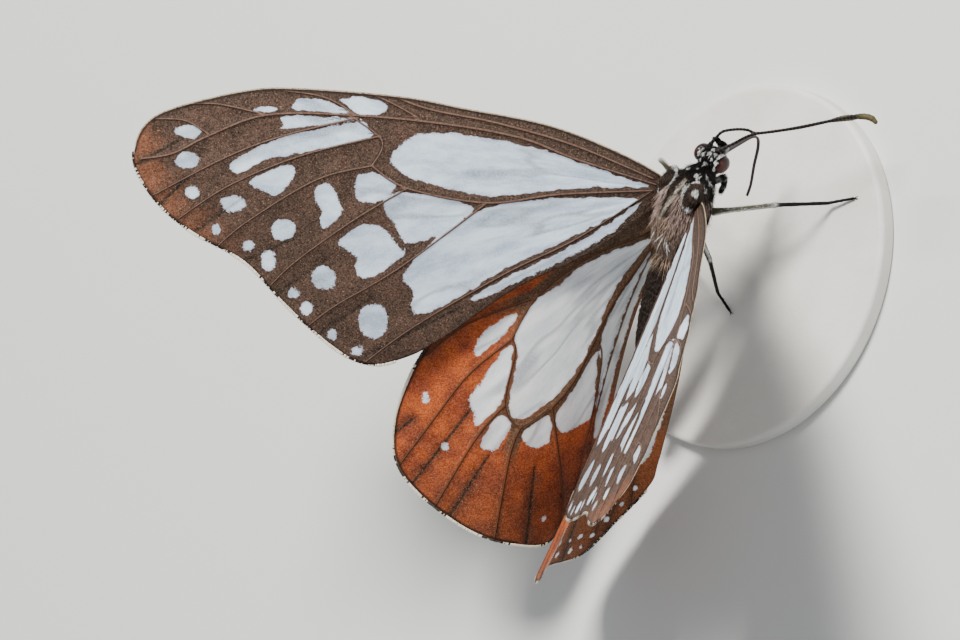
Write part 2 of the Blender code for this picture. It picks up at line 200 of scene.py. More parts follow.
print("ready to paint")

# %% [markdown]
# Every piece goes from numpy arrays into a mesh in one step. The same step stores the numbers that its
# material reads, such as the distance to a vein, turns the faces outwards, and hides the node of the
# imported model that the piece replaces.

# %% From arrays to an object


def volume(points, faces):
    """Six times the signed volume: the sum over fan triangles of a · (b × c)."""
    total = 0.0
    for block in faces:
        for k in range(1, block.shape[1] - 1):
            a, b, c = (points[block[:, j]] for j in (0, k, k + 1))
            total += np.einsum("ij,ij->i", a, np.cross(b, c)).sum()
    return total


def piece(name, points, faces, material, stands_for=(), slot=None, fields=None, corner_map=None, level=False):
    """An object from points (n, 3) in millimetres and a list of face index blocks (m, k)."""
    placed = (np.asarray(points, float) + SHIFT) * MM if level else in_model(points)
    faces = [np.asarray(block) for block in faces if len(block)]
    if volume(placed - placed.mean(axis=0), faces) < 0:
        faces = [block[:, ::-1] for block in faces]
    mesh = bpy.data.meshes.new(name)
    sizes = np.concatenate([np.full(len(block), block.shape[1]) for block in faces])
    corners = np.concatenate([block.ravel() for block in faces])
    mesh.vertices.add(len(placed))
    mesh.vertices.foreach_set("co", placed.ravel())
    mesh.loops.add(len(corners))
    mesh.loops.foreach_set("vertex_index", corners)
    mesh.polygons.add(len(sizes))
    mesh.polygons.foreach_set("loop_start", np.r_[0, np.cumsum(sizes)[:-1]])
    mesh.update(calc_edges=True)
    for key, values in (fields or {}).items():
        kind, part = ("FLOAT", "value") if np.ndim(values) == 1 else ("FLOAT_VECTOR", "vector")
        mesh.attributes.new(key, kind, "POINT").data.foreach_set(part, np.asarray(values, np.float32).ravel())
    if corner_map is not None:
        layer = mesh.uv_layers.new(name="OFBake")
        layer.data.foreach_set("uv", np.asarray(corner_map, np.float32)[corners].ravel())
    mesh.shade_smooth()
    mesh.materials.append(material)
    obj = bpy.data.objects.new(name, mesh)
    bpy.context.scene.collection.objects.link(obj)
    if slot:
        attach(obj, "root")
        if stands_for:
            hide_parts(*stands_for)
    print(name, "triangles:", int((sizes - 2).sum()))
    return obj


print("ready to build")

# %% [markdown]
# Forms come from few points: a smooth line runs through them, and rows of points joined by a grid of
# quads make a surface.

# %% Lines and grids


def grid_faces(rows, cols, wrap):
    """Quads of a grid of rows by cols points; wrap joins the last column to the first."""
    r = np.arange(rows - 1)[:, None]
    c = np.arange(cols if wrap else cols - 1)[None, :]
    d = (c + 1) % cols
    quads = np.stack((r * cols + c, r * cols + d, (r + 1) * cols + d, (r + 1) * cols + c), axis=-1)
    return quads.reshape(-1, 4)


def closed_faces(rings, around):
    """The quads between rings of points, and a cap over the first ring and the last."""
    cap = np.arange(around)[None]
    return [grid_faces(rings, around, True), cap[:, ::-1], (rings - 1) * around + cap]


def smooth_line(points, pieces, closed=False):
    """A Catmull-Rom curve through the points: each stretch is a cubic, cut into the same number of pieces."""
    p = np.asarray(points, float)
    n = len(p)
    i = np.arange(n if closed else n - 1)
    pick = [(i + k) % n if closed else np.clip(i + k, 0, n - 1) for k in (-1, 0, 1, 2)]
    a, b, c, d = (p[k][:, None] for k in pick)
    t = (np.arange(pieces) / pieces)[None, :, None]
    curve = 0.5 * (2 * b + (c - a) * t + (2 * a - 5 * b + 4 * c - d) * t**2 + (3 * b - a - 3 * c + d) * t**3)
    curve = curve.reshape(-1, p.shape[1])
    return curve if closed else np.r_[curve, p[-1:]]


def run_along(line):
    """How far along the line each of its points is."""
    return np.r_[0, np.cumsum(np.linalg.norm(np.diff(line, axis=0), axis=1))]


def spaced(line, at):
    """Points at given shares of a line's length."""
    run = run_along(line)
    where = np.asarray(at) * run[-1]
    return np.stack([np.interp(where, run, line[:, k]) for k in range(line.shape[1])], axis=1)


print("a smooth line through 3 points, cut in 4:", len(smooth_line(np.eye(3), 4)), "points")

# %% [markdown]
# The patterns come from distances. A vein is dark where a point is near its line, and a window is pale
# where a point is within its outline.

# %% Distances
FAR = 2.0


def line_distance(points, line):
    """Distance of each point to the nearest stretch of a line, how far along the line that is, and on
    which side of it the point lies."""
    a, ab = line[:-1], np.diff(line, axis=0)
    length = np.maximum((ab * ab).sum(axis=1), 1e-9)
    run = np.r_[0, np.cumsum(np.sqrt(length))[:-1]]
    best, along, side = np.full(len(points), 1e9), np.zeros(len(points)), np.ones(len(points))
    for start, step, square, so_far in zip(a, ab, length, run):
        t = np.clip((points - start) @ step / square, 0, 1)
        away = points - start - t[:, None] * step
        far = np.linalg.norm(away, axis=1)
        closer = far < best
        side = np.where(closer, np.sign(step[0] * away[:, 1] - step[1] * away[:, 0]), side)
        best = np.where(closer, far, best)
        along = np.where(closer, so_far + t * math.sqrt(square), along)
    return best, along, side


def inside(points, loop):
    """Whether each point lies within a closed outline, by counting the edges to its right."""
    hits = np.zeros(len(points), int)
    for (x0, y0), (x1, y1) in zip(loop, np.roll(loop, -1, axis=0)):
        if y0 != y1:
            crosses = (y0 > points[:, 1]) != (y1 > points[:, 1])
            hits += crosses & (points[:, 0] < x0 + (points[:, 1] - y0) * (x1 - x0) / (y1 - y0))
    return hits % 2 == 1


def depth_in(points, loop):
    """Signed distance to a closed outline, positive within it, worked out only near it."""
    depth = np.full(len(points), -FAR)
    low, high = loop.min(axis=0) - FAR, loop.max(axis=0) + FAR
    near = np.flatnonzero(((points > low) & (points < high)).all(axis=1))
    far = line_distance(points[near], np.r_[loop, loop[:1]])[0]
    depth[near] = np.clip(np.where(inside(points[near], loop), far, -far), -FAR, FAR)
    return depth


square = np.array(((-1, -1), (1, -1), (1, 1), (-1, 1)))
print("the middle of a square of side 2 is this deep:", depth_in(np.zeros((1, 2)), square)[0])

# %% [markdown]
# ## The wings
# A wing is drawn flat first, in its own millimetres: U from the root to the tip, V from the front edge
# to the hind edge. Few points give the outline, the veins and the pale windows between them. "tip" and
# "margin" number the outline's points, and a spot is a place, two half widths and a turn in degrees.

# %% The forewing, drawn flat
FOREWING = {
    "outline": ((-1.2, -0.8), (3.4, -3.9), (10.3, -7.1), (18.6, -9.3), (25.1, -10.9), (35.1, -12.3),
                (40.5, -12.4), (47.9, -11.1), (50.8, -9.6), (52.2, -7.3), (52.0, -4.8), (50.0, -1.3),
                (46.8, 1.8), (41.8, 5.2), (37.6, 10.3), (33.3, 14.7), (30.2, 16.5), (26.9, 16.4),
                (21.4, 13.7), (14.6, 9.5), (6.9, 6.3), (0.4, 2.2), (-1.2, 1.4)),
    "tip": 9,
    "margin": (9, 17),
    "veins": {
        "radius": ((0.0, -0.4), (7.9, -3.5), (13.1, -5.9), (20.2, -7.7), (29.5, -9.2), (38.4, -9.8),
                   (44.4, -8.1), (48.0, -6.6), (51.2, -6.25)),
        "subcosta": ((0.2, -1.0), (8.0, -4.9), (15.6, -7.6), (22.0, -9.3), (25.6, -10.8)),
        "radial_1": ((23.4, -8.6), (25.4, -9.9), (27.6, -11.05), (29.5, -11.5)),
        "radial_2": ((29.5, -9.2), (31.6, -10.7), (33.6, -11.5), (36.5, -12.05)),
        "radial_3": ((38.4, -9.8), (43.4, -11.2), (47.2, -11.3)),
        "radial_4": ((44.4, -8.3), (46.6, -9.75), (49.5, -10.1)),
        "cubitus": ((0.4, 0.2), (9.8, 0.0), (17.0, 0.4), (24.9, -1.6), (28.3, -4.1)),
        "cell_end": ((28.3, -4.1), (27.2, -5.7), (27.4, -7.0), (29.7, -8.9)),
        "median_1": ((29.7, -8.9), (36.7, -7.7), (42.7, -5.9), (51.0, -2.2)),
        "median_2": ((27.4, -7.0), (35.5, -5.5), (42.9, -2.9), (49.0, 0.7)),
        "median_3": ((28.3, -4.1), (34.0, -3.0), (41.3, 0.9), (44.9, 3.7)),
        "cubital_1": ((24.9, -1.6), (30.6, 1.4), (36.8, 5.4), (40.2, 8.5)),
        "cubital_2": ((17.0, 0.4), (26.3, 6.6), (33.0, 10.1), (36.6, 12.6)),
        "anal": ((0.5, 0.3), (8.3, 4.7), (15.6, 7.8), (24.9, 12.6), (31.0, 16.6)),
    },
    "strong": ("radius", "cubitus", "subcosta"),
    "folds": (((51.9, -5.6), (47.0, -8.0)), ((50.4, -0.9), (46.5, -4.3)), ((47.2, 2.0), (41.4, -1.6)),
              ((42.3, 5.1), (36.0, 2.6)), ((39.2, 8.8), (33.5, 5.2)), ((35.2, 13.2), (29.0, 9.4)),
              ((31.6, 16.0), (20.0, 10.9))),
    "windows": {
        "cell": ((0.8, -0.3), (2.6, -1.0), (7.9, -3.3), (12.2, -4.9), (16.7, -6.1), (20.2, -6.8),
                 (23.7, -6.8), (26.4, -4.7), (24.7, -2.8), (21.4, -1.5), (17.0, -0.3), (13.4, -0.3),
                 (8.0, -0.5), (2.6, -0.3)),
        "cubital": ((3.1, 0.8), (17.1, 0.9), (25.4, 6.7), (24.9, 9.1), (25.2, 10.7), (24.3, 11.5),
                    (21.2, 10.3), (15.6, 7.4), (10.1, 5.1), (6.5, 3.5), (2.8, 1.6)),
        "anal": ((1.5, 1.3), (4.7, 3.2), (10.0, 6.0), (15.7, 8.4), (19.0, 10.1), (18.2, 10.3), (14.0, 8.6),
                 (9.4, 6.7), (4.6, 4.2)),
        "upper_cubital": ((25.4, -1.2), (18.6, 0.6), (20.4, 2.6), (22.5, 3.6), (25.3, 4.0), (26.3, 2.2),
                          (27.4, 0.2)),
        "outer_cubital": ((32.0, 3.4), (29.1, 1.9), (27.1, 2.8), (26.0, 4.7), (25.5, 4.8), (26.4, 5.9),
                          (29.2, 7.3), (30.5, 6.8), (30.5, 5.1)),
        "inner_median": ((29.9, -2.8), (29.0, -3.3), (27.2, -3.0), (26.0, -1.8), (28.2, -0.4), (30.0, -0.9)),
        "outer_median": ((33.8, -2.3), (32.7, -2.5), (32.0, -1.2), (31.6, 0.5), (33.4, 2.0), (33.8, 1.2),
                         (33.4, 0.3), (34.2, -0.7)),
        "second_median": ((40.7, -3.1), (38.7, -4.2), (36.1, -4.6), (36.3, -3.2), (38.2, -1.6), (39.1, -2.2)),
        "long_median": ((28.3, -7.6), (29.1, -8.5), (33.7, -8.0), (37.2, -7.5), (42.2, -5.4), (41.4, -4.2),
                        (38.6, -5.4), (33.8, -6.0), (28.5, -6.9)),
        "wedge": ((29.8, -8.9), (36.6, -9.6), (36.9, -8.8), (36.7, -8.3), (30.0, -8.7)),
        "front_1": ((35.8, -10.6), (34.9, -11.2), (32.0, -10.6), (30.3, -9.5), (35.3, -10.1)),
        "front_2": ((31.1, -10.9), (28.1, -10.8), (26.3, -9.7), (28.6, -9.1), (30.3, -10.1)),
        "front_3": ((39.7, -10.3), (38.5, -10.6), (37.3, -10.3), (38.4, -10.1)),
    },
    "spots": ((46.4, -8.7, 1.2, 0.66, 176), (46.7, -5.8, 1.1, 0.82, 176), (46.4, -2.6, 0.7, 0.61, 176),
              (42.4, -1.1, 1.2, 0.82, 176), (44.2, 1.4, 0.4, 0.46, 176), (37.5, 1.9, 1.2, 1.13, 176),
              (41.1, 3.3, 0.65, 0.51, 176), (39.2, 4.9, 0.7, 0.93, 176), (33.8, 7.1, 1.2, 1.24, 176),
              (36.9, 8.5, 0.6, 0.52, 176), (35.7, 10.1, 0.65, 0.62, 176), (29.1, 11.9, 1.51, 1.76, 176),
              (33.3, 13.0, 0.5, 0.52, 176), (30.9, 14.8, 0.65, 0.47, 176)),
}

# %% The hindwing, drawn flat
HINDWING = {
    "outline": ((-0.9, -0.5), (4.7, 1.0), (9.5, 1.9), (15.2, 3.9), (20.6, 7.6), (24.6, 11.9), (26.9, 15.5),
                (28.6, 19.6), (28.9, 23.8), (27.0, 27.6), (22.4, 32.1), (17.3, 34.9), (12.9, 35.9),
                (8.9, 32.6), (5.8, 29.2), (4.9, 25.8), (4.0, 21.4), (2.8, 16.4), (1.2, 11.0), (-0.2, 6.2),
                (-0.9, 2.6)),
    "tip": 11,
    "margin": (5, 14),
    "veins": {
        "radius": ((0.4, 1.8), (2.8, 3.1), (8.0, 4.8), (12.9, 8.0), (15.8, 12.2)),
        "subcosta": ((12.9, 8.0), (20.1, 10.1), (24.6, 13.0)),
        "radial_sector": ((15.8, 12.2), (20.4, 15.4), (24.4, 19.8), (28.9, 25.0)),
        "cell_end": ((15.8, 12.2), (15.6, 13.7), (17.1, 19.1), (15.7, 21.7), (12.3, 20.2)),
        "median_1": ((17.1, 19.1), (20.3, 22.3), (25.6, 29.8)),
        "median_2": ((15.7, 21.7), (17.1, 24.7), (19.6, 34.2)),
        "median_3": ((12.3, 20.2), (12.1, 22.7), (11.4, 32.0), (12.2, 35.6)),
        "cubitus": ((0.6, 2.8), (1.7, 5.7), (4.9, 10.2), (9.4, 17.4), (12.3, 20.2)),
        "cubital_branch": ((6.7, 14.3), (6.6, 18.0), (10.4, 33.4)),
        "anal": ((0.7, 4.5), (3.6, 12.4), (5.8, 18.4), (7.4, 24.0), (7.8, 30.6)),
    },
    "strong": ("radius", "cubitus"),
    "folds": (((27.6, 27.0), (20.5, 19.2)), ((24.2, 31.0), (19.2, 24.4)), ((16.0, 35.6), (14.5, 26.5)),
              ((28.9, 21.2), (26.4, 19.6))),
    "windows": {
        "cell": ((1.4, 3.5), (8.0, 5.4), (10.5, 7.1), (13.1, 8.5), (15.4, 11.8), (15.3, 14.0), (16.6, 18.8),
                 (15.8, 20.8), (12.4, 19.4), (9.9, 17.4), (6.9, 13.0), (4.9, 9.1), (1.9, 4.7)),
        "outer_radial": ((15.0, 9.4), (16.0, 11.2), (19.1, 13.5), (19.5, 12.8), (18.2, 11.0)),
        "sector": ((15.9, 12.9), (16.1, 15.1), (17.3, 18.6), (20.0, 20.9), (20.2, 19.7), (20.7, 18.2),
                   (19.4, 16.7), (17.8, 14.5)),
        "first_median": ((17.4, 20.2), (16.7, 21.6), (18.6, 23.8), (19.9, 23.1), (18.7, 21.1)),
        "second_median": ((15.3, 22.2), (12.7, 21.1), (12.6, 23.4), (13.6, 24.3), (14.7, 24.1), (15.6, 23.2)),
        "cubital": ((7.0, 15.4), (7.0, 17.5), (7.4, 21.4), (8.4, 23.1), (11.3, 23.3), (11.8, 21.3),
                    (9.4, 18.4)),
        "anal": ((1.3, 5.2), (2.8, 8.0), (4.4, 10.2), (5.8, 12.7), (6.45, 14.7), (6.4, 18.0), (7.1, 21.6),
                 (6.85, 21.8), (5.85, 18.1), (3.75, 12.3), (1.7, 7.0), (1.0, 5.0)),
        "inner": ((1.35, 6.6), (3.55, 12.6), (5.7, 18.5), (7.05, 23.4), (7.0, 25.6), (6.0, 24.4), (4.6, 19.6),
                  (3.3, 15.2), (1.7, 10.2), (0.5, 6.8)),
    },
    "spots": ((24.9, 17.3, 0.3, 0.64, 174), (23.5, 22.9, 0.41, 0.43, 174), (13.7, 32.7, 0.33, 0.29, 161)),
}
for label, plan in (("forewing", FOREWING), ("hindwing", HINDWING)):
    print(label, "veins:", len(plan["veins"]), "windows:", len(plan["windows"]) + len(plan["spots"]))

# %% [markdown]
# The flat drawing is then laid in space. The forewing is a plane whose front edge droops. The hindwing
# starts as a plane and wraps downwards on a cylinder, because the resting insect lets it hang.

# %% Where the wings lie
FOREWING_ROOT = (3.0, 0.0, 0.0)
FOREWING_U = unit((0.598, -0.439, 0.670))
FOREWING_V = unit((-0.338, -0.897, -0.286))
FOREWING_DROOP = 0.0079
HINDWING_ROOT = (3.0, -2.1, -1.5)
HINDWING_TURN = {-1: (0.062, -0.039, 0.016), 1: (0.103, -0.048, -0.046)}
HINDWING_CURL = {-1: 0.064, 1: 0.0743}
HINDWING_FOLD = (1.191, -9.27)
HINDWING_PULL = {-1: (-2.7, 0.5, 1.4), 1: (-3.1, 0.6, 1.6)}
HINDWING_ATTACH = (0.0, 1.0)
HINDWING_PULL_REACH = {-1: (4.0, 9.0), 1: (4.0, 14.0)}


def turned(v, turn):
    """Rodrigues' rotation of v about the vector turn, by the vector's length in radians."""
    angle = np.linalg.norm(turn)
    k = np.asarray(turn) / angle
    return v * math.cos(angle) + np.cross(k, v) * math.sin(angle) + k * (k @ v) * (1 - math.cos(angle))


def forewing_place(flat, side):
    """root + U u + V v + droop (V before the front line)² along u × v, mirrored for the left."""
    droop = FOREWING_DROOP * np.clip(-flat[:, 1], 0, None) ** 2
    placed = (np.array(FOREWING_ROOT) + np.outer(flat[:, 0], FOREWING_U) + np.outer(flat[:, 1], FOREWING_V)
              + np.outer(droop, np.cross(FOREWING_U, FOREWING_V)))
    return placed * (side, 1, 1)


def hindwing_place(flat, side):
    """As a plane up to the fold, then along an arc: level by sin(bend) / curl and down by
    (1 - cos(bend)) / curl. Near the root it is drawn in to the thorax by pull e^(-(distance / reach)²)."""
    u, v = (turned(axis, HINDWING_TURN[side]) for axis in (FOREWING_U, FOREWING_V))
    angle, start = HINDWING_FOLD
    along = np.array((math.cos(angle), math.sin(angle)))
    across = np.array((-along[1], along[0]))
    reach, out = flat @ along, flat @ across
    curl = HINDWING_CURL[side]
    bend = np.clip(out - start, 0, None) * curl
    laid = np.outer(reach, along) + np.outer(np.minimum(out, start) + np.sin(bend) / curl, across)
    pull = np.exp(-((flat - HINDWING_ATTACH) / HINDWING_PULL_REACH[side]) ** 2).prod(axis=1)
    placed = (np.array(HINDWING_ROOT) + np.outer(laid[:, 0], u) + np.outer(laid[:, 1], v)
              + np.outer((1 - np.cos(bend)) / curl, np.cross(u, v)) + np.outer(pull, HINDWING_PULL[side]))
    return placed * (side, 1, 1)


PLANS = ((FOREWING, forewing_place, "forewing"), (HINDWING, hindwing_place, "hindwing"))
root, tip = (forewing_place(np.array([FOREWING["outline"][k]]), 1)[0] for k in (0, FOREWING["tip"]))
print("right forewing from root to tip, mm:", round(float(np.linalg.norm(tip - root)), 1))

# %% [markdown]
# The membrane is a grid stretched between the front edge and the hind edge. The outline is drawn in a
# little, most of all along the margin, where the fringe makes up for it.

# %% The flat grid
ROWS, COLS = 300, 140
CUTS = 24
LAST_ROW = 0.985
INSET, RIM_INSET = 0.28, 0.06
FRINGE_FROM, FRINGE_TO = 30, 12


def fringed_span(plan):
    """The first and the last point of the fringed margin on the smooth outline."""
    return (k * CUTS for k in plan["margin"])


def flat_grid(plan):
    """Rows of points from the front edge to the hind edge, root to tip, and the smooth outline itself."""
    loop = smooth_line(plan["outline"], CUTS, closed=True)
    out = unit(np.gradient(loop, axis=0) @ np.array(((0, -1), (1, 0))))
    out *= np.sign(np.einsum("ij,ij->i", out, loop - loop.mean(axis=0))[:, None])
    at = np.arange(len(loop))
    first, end = fringed_span(plan)
    fringed = ramp(at, first - FRINGE_FROM, first) * ramp(at, end + FRINGE_TO, end)
    loop = loop - (RIM_INSET + (INSET - RIM_INSET) * fringed)[:, None] * out
    tip, last = plan["tip"] * CUTS, (len(plan["outline"]) - 1) * CUTS
    share = np.linspace(0, LAST_ROW, ROWS)
    front, hind = spaced(loop[: tip + 1], share), spaced(loop[tip : last + 1][::-1], share)
    across = np.linspace(0, 1, COLS)[None, :, None]
    return front[:, None] * (1 - across) + hind[:, None] * across, loop


print("points on each face of a wing:", ROWS * COLS)

# %% [markdown]
# Each point of the grid then learns how far it is from the veins, the folds, the windows and the edges.
# Veins taper to their ends, and a vein's distance is also kept with a sign, one for each side of it.

# %% What each point of a wing knows
VEIN_HALF, STRONG_VEIN_HALF, VEIN_TAPER = 0.24, 0.34, 0.08
BEAD_PITCH, BEAD_SIZE, BEAD_ROWS = 2.3, 0.3, ((1.3, 0), (2.9, 1.1))


def nearest_vein(plan, points):
    """Distance to the nearest vein, that vein's half width there, and the distance signed by the side."""
    vein, width, signed = np.full(len(points), 9.0), np.ones(len(points)), np.full(len(points), 9.0)
    for key, line in plan["veins"].items():
        curve = smooth_line(line, 8)
        far, along, which = line_distance(points, curve)
        full = np.linalg.norm(np.diff(curve, axis=0), axis=1).sum()
        size = (STRONG_VEIN_HALF if key in plan["strong"] else VEIN_HALF) - VEIN_TAPER * along / full
        closer = far - size < vein - width
        vein, width = np.where(closer, far, vein), np.where(closer, size, width)
        signed = np.where(closer, far * which, signed)
    return vein, width, signed


def in_windows(plan, points):
    """Signed distance to the nearest pale window or spot, positive within it."""
    window = np.full(len(points), -FAR)
    for line in plan["windows"].values():
        window = np.maximum(window, depth_in(points, smooth_line(line, 6, closed=True)))
    for u, v, long, wide, turn in plan["spots"]:
        a = math.radians(turn)
        x = (points - (u, v)) @ np.array(((math.cos(a), -math.sin(a)), (math.sin(a), math.cos(a))))
        reach = np.hypot(x[:, 0] / long, x[:, 1] / wide)
        window = np.maximum(window, (1 - reach) * min(long, wide))
    return window


def wing_fields(plan, grid, loop):
    """What the wing's relief and colours depend on, for each point of the flat grid. The underside has two
    rows of small white beads along the margin besides the windows."""
    points = grid.reshape(-1, 2)
    vein, width, signed = nearest_vein(plan, points)
    fold = np.min([line_distance(points, np.array(line))[0] for line in plan["folds"]], axis=0)
    window = in_windows(plan, points)
    first, end = fringed_span(plan)
    margin, run, _ = line_distance(points, loop[first : end + 1])
    front = line_distance(points, loop[: plan["tip"] * CUTS + 1])[0]
    edge = line_distance(points, np.r_[loop, loop[:1]])[0]
    beads = [BEAD_SIZE - np.hypot(margin - row, (run + shift) % BEAD_PITCH - BEAD_PITCH / 2)
             for row, shift in BEAD_ROWS]
    under = np.clip(np.maximum(window, np.max(beads, axis=0)), -FAR, FAR)
    reach = np.hypot(points[:, 0], points[:, 1])
    return {"vein": vein, "width": width, "signed": signed, "fold": fold, "window": window, "under": under,
            "margin": margin, "front": front, "edge": edge, "reach": reach}


print("rows of beads on the underside:", len(BEAD_ROWS))

# %% [markdown]
# Upper and under face share the points along the rim. Veins stand up from both faces, and the membrane
# sags a little between them, which is what makes the light play over a real wing.

# %% A wing as a closed surface
MEMBRANE_HALF, VEIN_RISE, RIM_ROUND = 0.05, 0.09, 0.3
SAG, SAG_REACH, FOLD_SINK, FOLD_REACH = 0.13, 1.3, 0.05, 0.5
LOWERED = 0.05
STEP = 0.05
UNDER_SHIFT = (0, 0, 7)
RAY_CENTRE, RAY_TURN, RAY_FAR = -4, 14, 0.16


def facing(grid, place, side):
    """Unit normals of the placed surface, from central differences in the flat frame."""
    du = place(grid + (STEP, 0), side) - place(grid - (STEP, 0), side)
    dv = place(grid + (0, STEP), side) - place(grid - (0, STEP), side)
    return unit(np.cross(du, dv))


def wing_surface(plan, place, side):
    """Points, faces and fields of a closed wing. The half thickness is the membrane's plus a ridge
    1 - (distance / width)² on each vein, all times 1 - e^(-edge / rim). The middle rises near veins by
    sag e^(-(distance / reach)²) and sinks at folds. Rays, for streaks, are the turn about a point behind
    the root and the distance from it."""
    grid, loop = flat_grid(plan)
    fields = wing_fields(plan, grid, loop)
    flat = grid.reshape(-1, 2)
    middle, up = place(flat, side), facing(flat, place, side)
    up = up * np.sign(up[:, 2].mean())
    ridge = np.clip(1 - (fields["vein"] / fields["width"]) ** 2, 0, 1)
    taper = 1 - np.exp(-fields["edge"] / RIM_ROUND)
    half = taper * (MEMBRANE_HALF + VEIN_RISE * ridge)
    sag = SAG * np.exp(-(fields["vein"] / SAG_REACH) ** 2)
    sag = sag - FOLD_SINK * np.exp(-(fields["fold"] / FOLD_REACH) ** 2)
    centre = middle + up * (sag - LOWERED)[:, None]
    top, bottom = centre + up * half[:, None], centre - up * half[:, None]
    count = len(flat)
    rim = np.zeros((ROWS, COLS), bool)
    rim[[0, -1], :] = rim[:, [0, -1]] = True
    rim = rim.ravel()
    top[rim] = centre[rim]
    lower = np.where(rim, np.arange(count), count + np.cumsum(~rim) - 1)
    quads = grid_faces(ROWS, COLS, False)
    points = np.r_[top, bottom[~rim]]
    both = {key: np.r_[values, values[~rim]] for key, values in fields.items()}
    both["upper"] = np.r_[np.where(rim, 0.5, 1.0), np.zeros((~rim).sum())]
    where = np.c_[flat, np.zeros(count)]
    both["flat_place"] = np.r_[where, where[~rim] + UNDER_SHIFT]
    u, v = flat[:, 0] - RAY_CENTRE, flat[:, 1]
    rays = np.c_[np.arctan2(v, u) * RAY_TURN, np.hypot(u, v) * RAY_FAR, np.zeros(count)]
    both["rays"] = np.r_[rays, rays[~rim]]
    return points, [quads, lower[quads][:, ::-1]], both, loop


print("a wing's thickness between veins, mm:", 2 * MEMBRANE_HALF)

# %% [markdown]
# Wing colour comes from powdery scales: brown on the forewing, chestnut on the hindwing, and thin
# bluish-white scales in the windows. The edge of a window is ragged by the width of a scale or two, so
# the stored distance is pushed about by fine noise before it is cut. The numbers in a step are
# millimetres from a vein, a fold, the edge or the root, and those after a mix's factor its strength.

# %% What every part of the wing's finish reads


class Scales:
    """The numbers stored on a wing, and the noises that all parts of its finish share."""

    def __init__(self, paint):
        for key in ("upper", "vein", "width", "signed", "margin", "front", "edge", "reach"):
            setattr(self, key, paint.field(key))
        self.where, self.rays = paint.field("flat_place", "Vector"), paint.field("rays", "Vector")
        self.teeth = paint.noise(self.where, 3.6, 3.0, 0.8) - 0.5
        self.lobes = paint.noise(self.where, 0.8, 2.0) - 0.5
        self.scales, self.grains = paint.cells(self.where, 8.0), paint.cells(self.where, 15.0)
        self.side = paint.step(self.upper, 0.4, 0.6)
        self.crease = paint.field("fold")
        # The fold line, along which painted shade darkens the scales and the windows.
        self.fold = paint.step(self.crease + self.teeth * 0.15, 0.22, 0.06)
        window = paint.field("window") * self.side + paint.field("under") * (1 - self.side)
        self.ragged = window + self.teeth * (paint.step(self.vein, 0.5, 1.4) * 0.55 + 0.3) + self.lobes * 0.7


def scale_tone(paint, f, tones, rust, fold_shade_reach, band_reach):
    """The brown or chestnut parts: two clouded tones, darker beside veins and edges, painted shade along the
    folds, then powdery grains. rust is how orange the tip gets, and the reaches are in millimetres."""
    cloud = paint.noise(f.where, 0.35, 4.0)
    tone = paint.mix(paint.step(cloud, 0.35, 0.65), tones["ground"], tones["deep"])
    tone = paint.mix(f.side, tones["under"], tone)
    band = paint.step(f.vein - f.width + f.teeth * 0.3, band_reach, band_reach * 0.5)
    band = band * paint.step(f.margin, 6.0, 11.0)
    inner = paint.step(f.reach + f.lobes * 6, 14.0, 7.0)
    tone = paint.mix((band * 0.95).over(inner), tone, tones["band"])
    near_margin = f.margin + f.lobes * 6
    outer = paint.step(near_margin, 4.0, 0.5) * paint.step(f.reach, 40.0, 50.0)
    rim = paint.step(f.edge + f.lobes, 1.3, 0.6) * paint.step(f.margin, 5.0, 9.0)
    hind = paint.node("ShaderNodeSeparateXYZ", {}, {0: f.where}, 1)
    powder = paint.step(f.vein + f.teeth, 1.0, 0.1) * paint.step(f.margin + f.lobes * 8, 9.0, 1.0)
    # Painted shade: a dark haze along the folds near the margin.
    fold_shade = paint.step(f.crease + f.lobes * 1.6, fold_shade_reach, 0.0) * paint.step(near_margin, 11.0, 4.0)
    # The last two marks are painted shade: the haze along the folds, and a dark line in each fold.
    for share, colour in ((outer * rust, screen(158, 92, 58)), (rim * 0.8, tones["band"]),
                          (paint.step(hind + f.lobes * 8, 20.0, 33.0) * 0.55, screen(84, 48, 28)),
                          (powder * 0.5, screen(46, 28, 20)), (fold_shade * 0.6, screen(38, 24, 18)),
                          (f.fold * 0.85, screen(16, 10, 8))):
        tone = paint.mix(share, tone, colour)
    dark, light = paint.mix(0.5, tone, (0, 0, 0, 1)), paint.mix(0.05, tone, (1, 0.8, 0.6, 1))
    tone = paint.mix(paint.step(f.scales * 0.5 + f.grains * 0.5 + f.teeth * 0.4, 0.1, 0.9), dark, light)
    return paint.mix(paint.step(f.grains, 0.955, 0.995) * 0.4, tone, screen(190, 150, 120))


def glass_tone(paint, f, streak, tones):
    """The pale windows: streaks and wrinkles that run from the root, the wrinkles and folds as painted shade,
    and a purple tinge at the edge.
    """
    wrinkle = paint.noise(f.rays, 0.35, 2.0, 0.5)
    # Painted shade: grey lines along the wrinkles, and grey in the folds below.
    line = paint.step(wrinkle, 0.5, 0.55) * paint.step(wrinkle, 0.6, 0.55)
    glass = paint.mix(paint.step(streak, 0.3, 0.7), tones["glass"], tones["glass_deep"])
    glass = paint.mix(line * 0.5, glass, screen(110, 120, 130))
    glass = paint.mix(f.fold * 0.45, glass, screen(96, 96, 104))
    glass = paint.mix(paint.step(f.ragged, 0.3, 0.0) * 0.4, glass, screen(158, 156, 178))
    return paint.mix(paint.step(f.grains, 0.4, 1.0) * 0.35, glass, screen(244, 247, 248))


